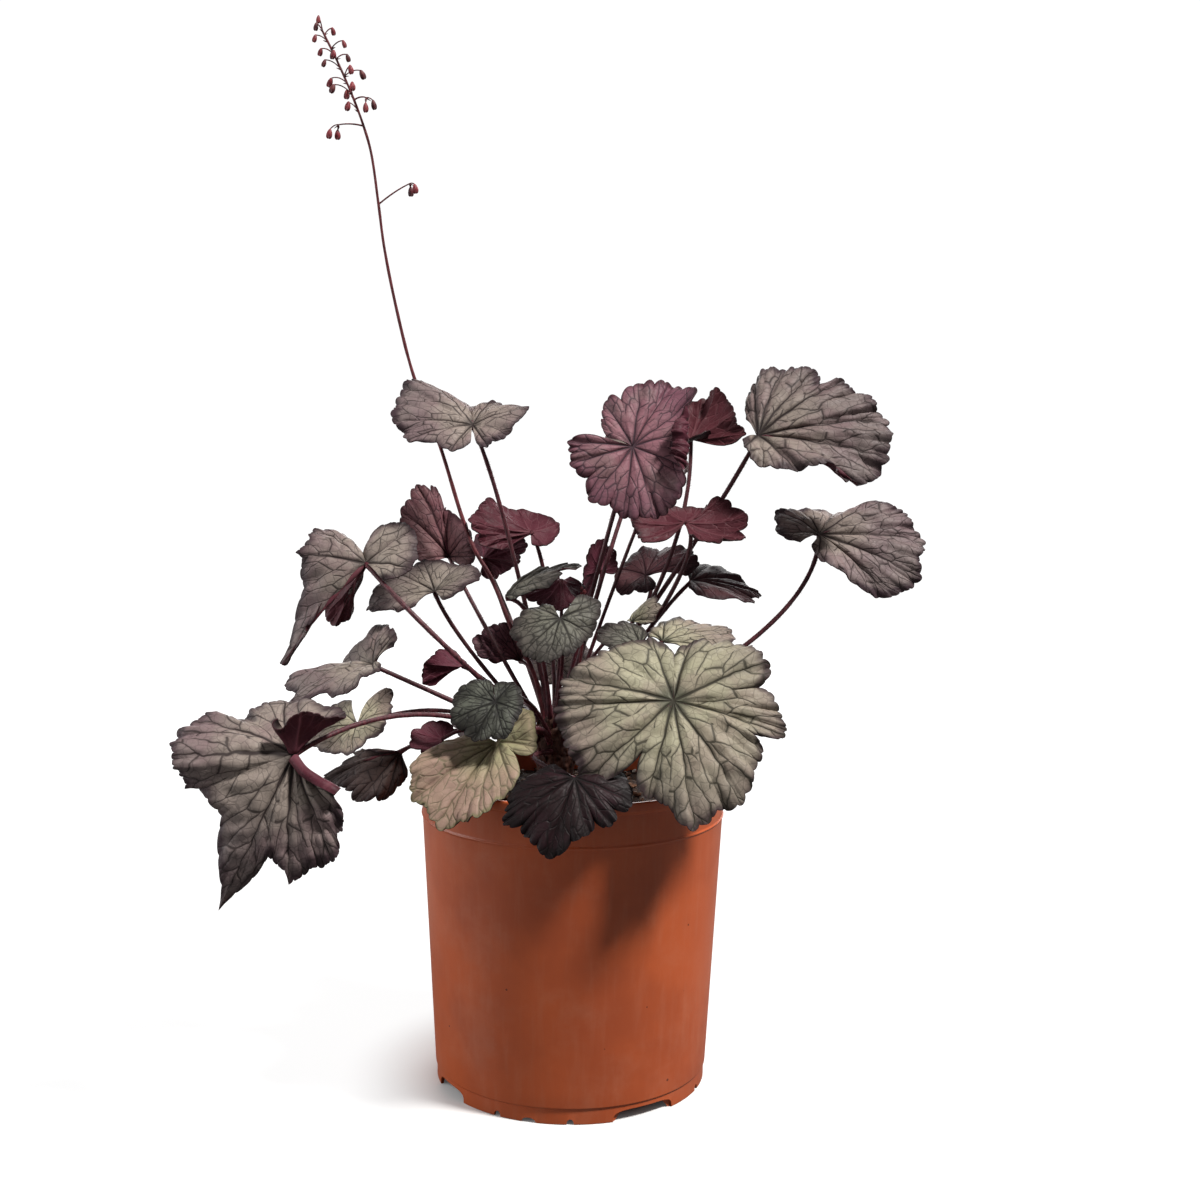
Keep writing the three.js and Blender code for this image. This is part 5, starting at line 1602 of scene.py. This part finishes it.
# ---- Flower stalks -----------------------------------------------------------------------------
def curve_through(knots: Points, count: int) -> Points:
    """Even places along the centripetal Catmull-Rom curve through some knots.

    Between knots b and c each place is blended from the lines through a, b, c and d, with the square root
    of the distance between two knots as their spacing.

    Args:
        knots: Points that the curve passes, the first and last included.
        count: Number of places.

    Returns:
        Points, count by 3.
    """
    ends = np.concatenate([[2 * knots[0] - knots[1]], knots, [2 * knots[-1] - knots[-2]]])
    t = np.linspace(0, 1, 24, endpoint=False)[:, None]
    pieces = []
    for a, b, c, d in zip(ends[:-3], ends[1:-2], ends[2:-1], ends[3:]):
        k1 = math.sqrt(max(np.linalg.norm(b - a), 1e-4))
        k2 = k1 + math.sqrt(max(np.linalg.norm(c - b), 1e-4))
        k3 = k2 + math.sqrt(max(np.linalg.norm(d - c), 1e-4))
        k = k1 + (k2 - k1) * t
        ab = (k1 - k) / k1 * a + k / k1 * b
        bc = (k2 - k) / (k2 - k1) * b + (k - k1) / (k2 - k1) * c
        cd = (k3 - k) / (k3 - k2) * c + (k - k2) / (k3 - k2) * d
        abc = (k2 - k) / k2 * ab + k / k2 * bc
        bcd = (k3 - k) / (k3 - k1) * bc + (k - k1) / (k3 - k1) * cd
        pieces.append((k2 - k) / (k2 - k1) * abc + (k - k1) / (k2 - k1) * bcd)
    dense = np.concatenate([*pieces, knots[-1:]])
    length = np.concatenate([[0], np.cumsum(np.linalg.norm(np.diff(dense, axis=0), axis=1))])
    even = np.linspace(0, length[-1], count)
    return np.stack([np.interp(even, length, dense[:, axis]) for axis in range(3)], axis=-1)


def spike_finishes() -> list[bpy.types.Material]:
    """The materials of a flower stalk: its skin, its hairs, and pale and dark buds."""
    return [finish.material() for finish in (FLOWER_STALK, HAIR, BUD_SKIN, BUD_DARK)]
@dataclass(frozen=True)
class Bud:
    """A hanging bell-shaped bud with five calyx lobes."""

    place: Place
    lean: tuple[float, float]
    length: float = 5.6
    radius: float = 1.7
    dark: bool = False

    def ribs(self, ring: Points, angles: Numbers) -> Points:
        """Gives the bell five soft ribs that grow towards the mouth.

        The radius times 1 + 0.16 m (cos 5 a - 0.4), and the height less 0.25 m cos 5 a, where m grows from 0
        to 1 towards the mouth.

        Args:
            ring: Points, rings by angles by 3.
            angles: The angle of each place in a ring.

        Returns:
            The points, moved.
        """
        mouth = np.clip(0.5 - ring[..., 2] / self.length, 0, 1)
        ring[..., :2] *= (1 + 0.16 * mouth * (np.cos(5 * angles) - 0.4))[..., None]
        ring[..., 2] -= 0.25 * mouth * np.cos(5 * angles)
        return ring

    def add(self, draft: Draft, finish: int) -> None:
        """Adds the bud: a bell turned about its own axis, with ribs(), and then leaned over.

        Args:
            draft: What it is added to.
            finish: Number of its material.
        """
        up = np.array([-1.0, -0.96, -0.8, -0.5, -0.15, 0.25, 0.55, 0.8, 0.95, 1.0])
        wide = np.array([0.0, 0.42, 0.78, 0.95, 1.0, 0.86, 0.66, 0.45, 0.22, 0.0])
        profile = np.stack([wide * self.radius, up * (self.length / 2)], axis=-1)
        points, faces = turned(profile, 15, self.ribs)
        a, b = self.lean
        about_y = np.array([[math.cos(a), 0, math.sin(a)], [0, 1, 0], [-math.sin(a), 0, math.cos(a)]])
        about_x = np.array([[1, 0, 0], [0, math.cos(b), -math.sin(b)], [0, math.sin(b), math.cos(b)]])
        draft.add(points @ (about_x @ about_y).T + np.array(self.place), faces, finish)


@dataclass
class FlowerSpike:
    """The tall flower stalk with its side branches and hanging buds."""

    form: CrownForm
    root: Points
    path: tuple[Place, ...] = (
        (-22, 9, 222), (-36, 13, 250), (-46, 24, 272), (-57, 29, 290), (-64, 33, 307), (-77, 38, 347),
        (-92, 40, 386), (-101, 40, 421), (-108, 40, 456), (-111, 40, 479), (-115, 40, 507), (-119, 40, 521),
        (-125, 40, 537), (-133, 40, 555), (-141, 40, 571))
    sprays: tuple[tuple[tuple[Place, ...], tuple[Place, ...]], ...] = (
        (((-119, 40, 521), (-125, 38, 522.5), (-132, 36, 521)), ((-137, 35, 516), (-133, 38, 516))),
        (((-111, 40, 479), (-102, 42, 487), (-94, 44, 491)), ((-94, 47, 487), (-91, 42, 488))),
        (((-124, 40, 535), (-120, 38, 537), (-117, 36, 535.5)), ((-117, 34, 530), (-113, 37, 532))))
    buds: tuple[Place, ...] = (
        (-127, 36, 531), (-120, 43, 549), (-125, 34, 550), (-138, 45, 545), (-135, 35, 540), (-129, 46, 539),
        (-124, 33, 541), (-140, 38, 554), (-143, 44, 561), (-129, 37, 564), (-128, 44, 558), (-145, 38, 567),
        (-136, 44, 572), (-145, 42, 574), (-143, 38, 577), (-134, 33, 558), (-137, 47, 560))
    root_radius: float = 1.4
    tip_radius: float = 0.6
    stalk_radius: float = 0.36
    drop: float = 2.2
    hang: float = 0.35
    small_from: float = 552.0

    def flower(self, draft: Draft, start: Points, place: Place, order: int) -> None:
        """Adds a bud on its own thin stalk, an arc() from the flower stalk, with a bract at its foot.

        Args:
            draft: What it is added to.
            start: Foot of its stalk.
            place: Middle of the bud.
            order: Its number.
        """
        draw = np.random.default_rng(200 + order)
        scale = 1.0 if place[2] < self.small_from else 0.82
        bud = Bud(place, (0.04 * (start[0] - place[0]), 0.04 * (place[1] - start[1])), 5.4 * scale,
                  1.65 * scale * draw.uniform(0.9, 1.05), dark=order % 3 == 1)
        top = np.array(place, float) + self.hang * bud.length * UP
        path = arc(start, (start + top) / 2 + 0.3 * np.linalg.norm(top - start) * UP, top, 8)
        draft.extend(tube(path, np.full(8, self.stalk_radius), 6, unit(np.cross(top - start, [0.2, 0.3, 1.0]))), 0)
        out = unit(top - start)
        t = np.linspace(0, 1, 5)[:, None]
        bract = start - 0.3 * UP + out * np.linspace(0.2, 3.0, 5)[:, None] - 0.35 * UP * t**2
        radii = np.array([0.5, 0.75, 0.6, 0.4, 0.12])
        draft.extend(tube(bract, radii, 6, unit(np.cross(out, [0.1, 0.2, 1.0])), 0.5), 3)
        bud.add(draft, 3 if bud.dark else 2)

    def build(self) -> None:
        """Builds and dresses the spike."""
        draft = Draft()
        path = curve_through(np.array([self.form.inside(self.root), *self.path], float), 200)
        radii = self.root_radius + (self.tip_radius - self.root_radius) * np.linspace(0, 1, len(path))
        radii *= 1 + 0.05 * wobble(path, 12, 8)
        draft.extend(tube(path, radii, 10, LEVEL), 0)
        draft.extend(hairs(path, radii, 420, 0.7, 0.05, 77), 1)
        for order, place in enumerate(self.buds):
            nearest = int(np.argmin(np.abs(path[:, 2] - (place[2] - self.drop))))
            self.flower(draft, path[nearest], place, order)
        order = len(self.buds)
        for line, buds in self.sprays:
            start, control, end = (np.array(place, float) for place in line)
            radii = np.linspace(self.tip_radius * 0.85, self.stalk_radius, 14)
            draft.extend(tube(arc(start, control, end, 14), radii, 8, LEVEL), 0)
            for place in buds:
                self.flower(draft, end, place, order)
                order += 1
        draft.piece("heuchera_flower_spike", spike_finishes(), "flower_stalk", "flower_spike")


@dataclass
class YoungSpike:
    """A short flower stalk whose buds are still in a tight head."""

    form: CrownForm
    root: Points
    path: tuple[Place, ...] = ((3, -12, 232), (5, -16, 258), (5, -16, 273))
    radius: float = 0.95
    buds_from: float = 0.70
    buds: int = 26
    spread: float = 4.4

    def build(self) -> None:
        """Builds and dresses the young spike: its buds stand round it by the golden angle."""
        draft = Draft()
        path = curve_through(np.array([self.form.inside(self.root), *self.path], float), 60)
        radii = self.radius * np.linspace(1.0, 0.55, len(path))
        draft.extend(tube(path, radii, 10, LEVEL), 0)
        draft.extend(hairs(path, radii, 200, 0.9, 0.06, 78), 1)
        draw = np.random.default_rng(5)
        t = np.linspace(0, 1, 5)[:, None]
        for bud in range(self.buds):
            up = bud / (self.buds - 1)
            centre = path[int((self.buds_from + (0.99 - self.buds_from) * up) * (len(path) - 1))]
            out = self.spread * (1 - 0.72 * up) * draw.uniform(0.55, 1.0)
            turn = math.pi * (3 - math.sqrt(5)) * bud
            place = centre + np.array([out * math.cos(turn), out * math.sin(turn), 1.2 + 0.8 * draw.random()])
            stem = centre + (place - centre) * t - 0.3 * UP * np.sin(math.pi * t)
            draft.extend(tube(stem, np.full(5, 0.34), 6, unit(np.cross(place - centre, [0.2, 0.3, 1.0]))), 0)
            lean = (0.09 * (place[0] - centre[0]), -0.09 * (place[1] - centre[1]))
            size = draw.uniform(0.85, 1.1) * (1 - 0.3 * up)
            Bud(tuple(place), lean, 3.3 * size, 1.35 * size).add(draft, 3 if bud % 4 == 1 else 2)
        draft.piece("heuchera_young_spike", spike_finishes(), "flower_stalk", "young_spike")


# ---- Studio ------------------------------------------------------------------------------------
@dataclass
class Studio:
    """A plain pale floor, soft light and the camera."""

    lens: float = 50.0
    sensor: float = 36.0
    camera_place: Place = (13.7, -899.2, 375.1)
    pitch: float = 6.956
    roll: float = 0.652
    room_light: float = 0.11
    backdrop_light: float = 1.05
    floor_light: float = 1.12
    floor_radius: float = 6.0

    def floor(self) -> None:
        """Lays the floor: a wide disc of matt white."""
        mesh = bpy.data.meshes.new("studio_floor")
        angles = np.linspace(0, math.tau, 96, endpoint=False)
        rim = np.stack([np.cos(angles), np.sin(angles), np.zeros_like(angles)], axis=-1) * self.floor_radius
        mesh.from_pydata(rim.tolist(), [], [list(range(len(angles)))])
        material = bpy.data.materials.new("studio_floor")
        material.use_nodes = True
        w = Wiring(material.node_tree)
        camera_ray = w.node("ShaderNodeLightPath").outputs["Is Camera Ray"]
        shader, output = (material.node_tree.nodes[name] for name in ("Principled BSDF", "Material Output"))
        w.feed(shader.inputs["Base Color"], w.mix(camera_ray, (0.1, 0.1, 0.1, 1), (0.8, 0.8, 0.8, 1)))
        w.feed(shader.inputs["Roughness"], 0.9)
        place = w.node("ShaderNodeTexCoord").outputs["Object"]
        reach = w.node("ShaderNodeVectorMath", {0: place}, operation="LENGTH").outputs["Value"]
        seen = w.times(camera_ray, w.fade(reach, 0.060, 0.13, 0.0, 0.78))
        white = w.node("ShaderNodeEmission", {"Strength": self.floor_light}).outputs[0]
        either = w.node("ShaderNodeMixShader", {0: seen, 1: shader.outputs[0], 2: white})
        w.feed(output.inputs["Surface"], either.outputs[0])
        mesh.materials.append(material)
        floor = stand("studio_floor", mesh)

    def sun(self, name: str, bearing: float, height: float, spread: float, power: float,
            colour: tuple[float, ...]) -> None:
        """Soft light from far away.

        Args:
            name: Name of the light.
            bearing: Where it comes from, in degrees from the camera's side, positive to the right.
            height: Its height above the horizon, in degrees.
            spread: How wide it looks, in degrees.
            power: Its strength.
            colour: Its colour.
        """
        data = bpy.data.lights.new(name, "SUN")
        data.energy, data.angle, data.color = power, math.radians(spread), colour
        light = stand(name, data)
        light.rotation_euler = (math.radians(90 - height), 0, math.radians(bearing))

    def soft_box(self, name: str, bearing: float, height: float, away: float, size: tuple[float, float],
                 power: float) -> None:
        """A wide light panel that faces the plant.

        Args:
            name: Name of the light.
            bearing: Where it stands, in degrees from the camera's side, positive to the right.
            height: Height of its middle, in metres.
            away: Distance from the pot's axis, in metres.
            size: Width and height, in metres.
            power: Its strength, in watts.
        """
        data = bpy.data.lights.new(name, "AREA")
        data.shape, data.size, data.size_y, data.energy = "RECTANGLE", *size, power
        light = stand(name, data)
        turn = math.radians(bearing)
        light.location = (away * math.sin(turn), -away * math.cos(turn), height)
        light.rotation_euler = (math.radians(80), 0, turn)

    def world(self) -> None:
        """A white room: white behind everything, and a dimmer white for the light that it gives."""
        world = bpy.data.worlds.new("studio_world")
        world.use_nodes = True
        w = Wiring(world.node_tree)
        w.tree.nodes.clear()
        room, backdrop = (
            w.node("ShaderNodeBackground", {"Color": (1.0, 1.0, 1.0, 1.0), "Strength": strength}).outputs[0]
            for strength in (self.room_light, self.backdrop_light))
        rays = w.node("ShaderNodeLightPath").outputs
        seen = w.math("MAXIMUM", w.times(rays["Is Glossy Ray"], 0.15), rays["Is Camera Ray"])
        either = w.node("ShaderNodeMixShader", {0: seen, 1: room, 2: backdrop})
        w.node("ShaderNodeOutputWorld", {"Surface": either.outputs[0]})
        bpy.context.scene.world = world

    def build(self) -> None:
        """Sets the floor, the world, the lights and the camera."""
        self.floor()
        self.world()
        self.sun("key", 64, 57, 10, 4.8, (1.0, 0.98, 0.945))
        self.soft_box("fill", -88, 0.45, 1.2, (1.5, 1.1), 13)
        self.soft_box("back", 172, 0.6, 1.5, (1.5, 1.1), 22)
        camera_data = bpy.data.cameras.new("camera")
        camera_data.lens, camera_data.sensor_width, camera_data.sensor_fit = self.lens, self.sensor, "HORIZONTAL"
        camera_data.clip_start, camera_data.clip_end = 0.01, 50
        camera = stand("camera", camera_data)
        camera.location = [c * MILLIMETRE for c in self.camera_place]
        pitch = Matrix.Rotation(math.radians(90 - self.pitch), 3, "X")
        camera.rotation_euler = (pitch @ Matrix.Rotation(math.radians(self.roll), 3, "Z")).to_euler()
        bpy.context.scene.camera = camera
        view = bpy.context.scene.view_settings
        view.view_transform, view.look = "Standard", "None"


def main() -> None:
    """Builds every piece in order."""
    for pattern in (leaf_pattern, plastic_pattern, fibre_pattern):
        pattern()
    Studio().build()
    form = CrownForm()
    pot = Pot()
    pot.build()
    Soil(pot, form).build()
    Crown(form).build()
    spike_root, young_root, *leaf_roots = form.roots(
        [FlowerSpike.path[0], YoungSpike.path[0], *(plan.bend for plan in LEAVES.values())])
    for number, ((name, plan), root) in enumerate(zip(LEAVES.items(), leaf_roots)):
        Leaf(name, plan, form.inside(root), number).build()
    FlowerSpike(form, spike_root).build()
    YoungSpike(form, young_root).build()
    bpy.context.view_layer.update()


if __name__ == "__main__":
    logging.basicConfig(level=logging.INFO, format="%(name)s %(message)s")
    main()
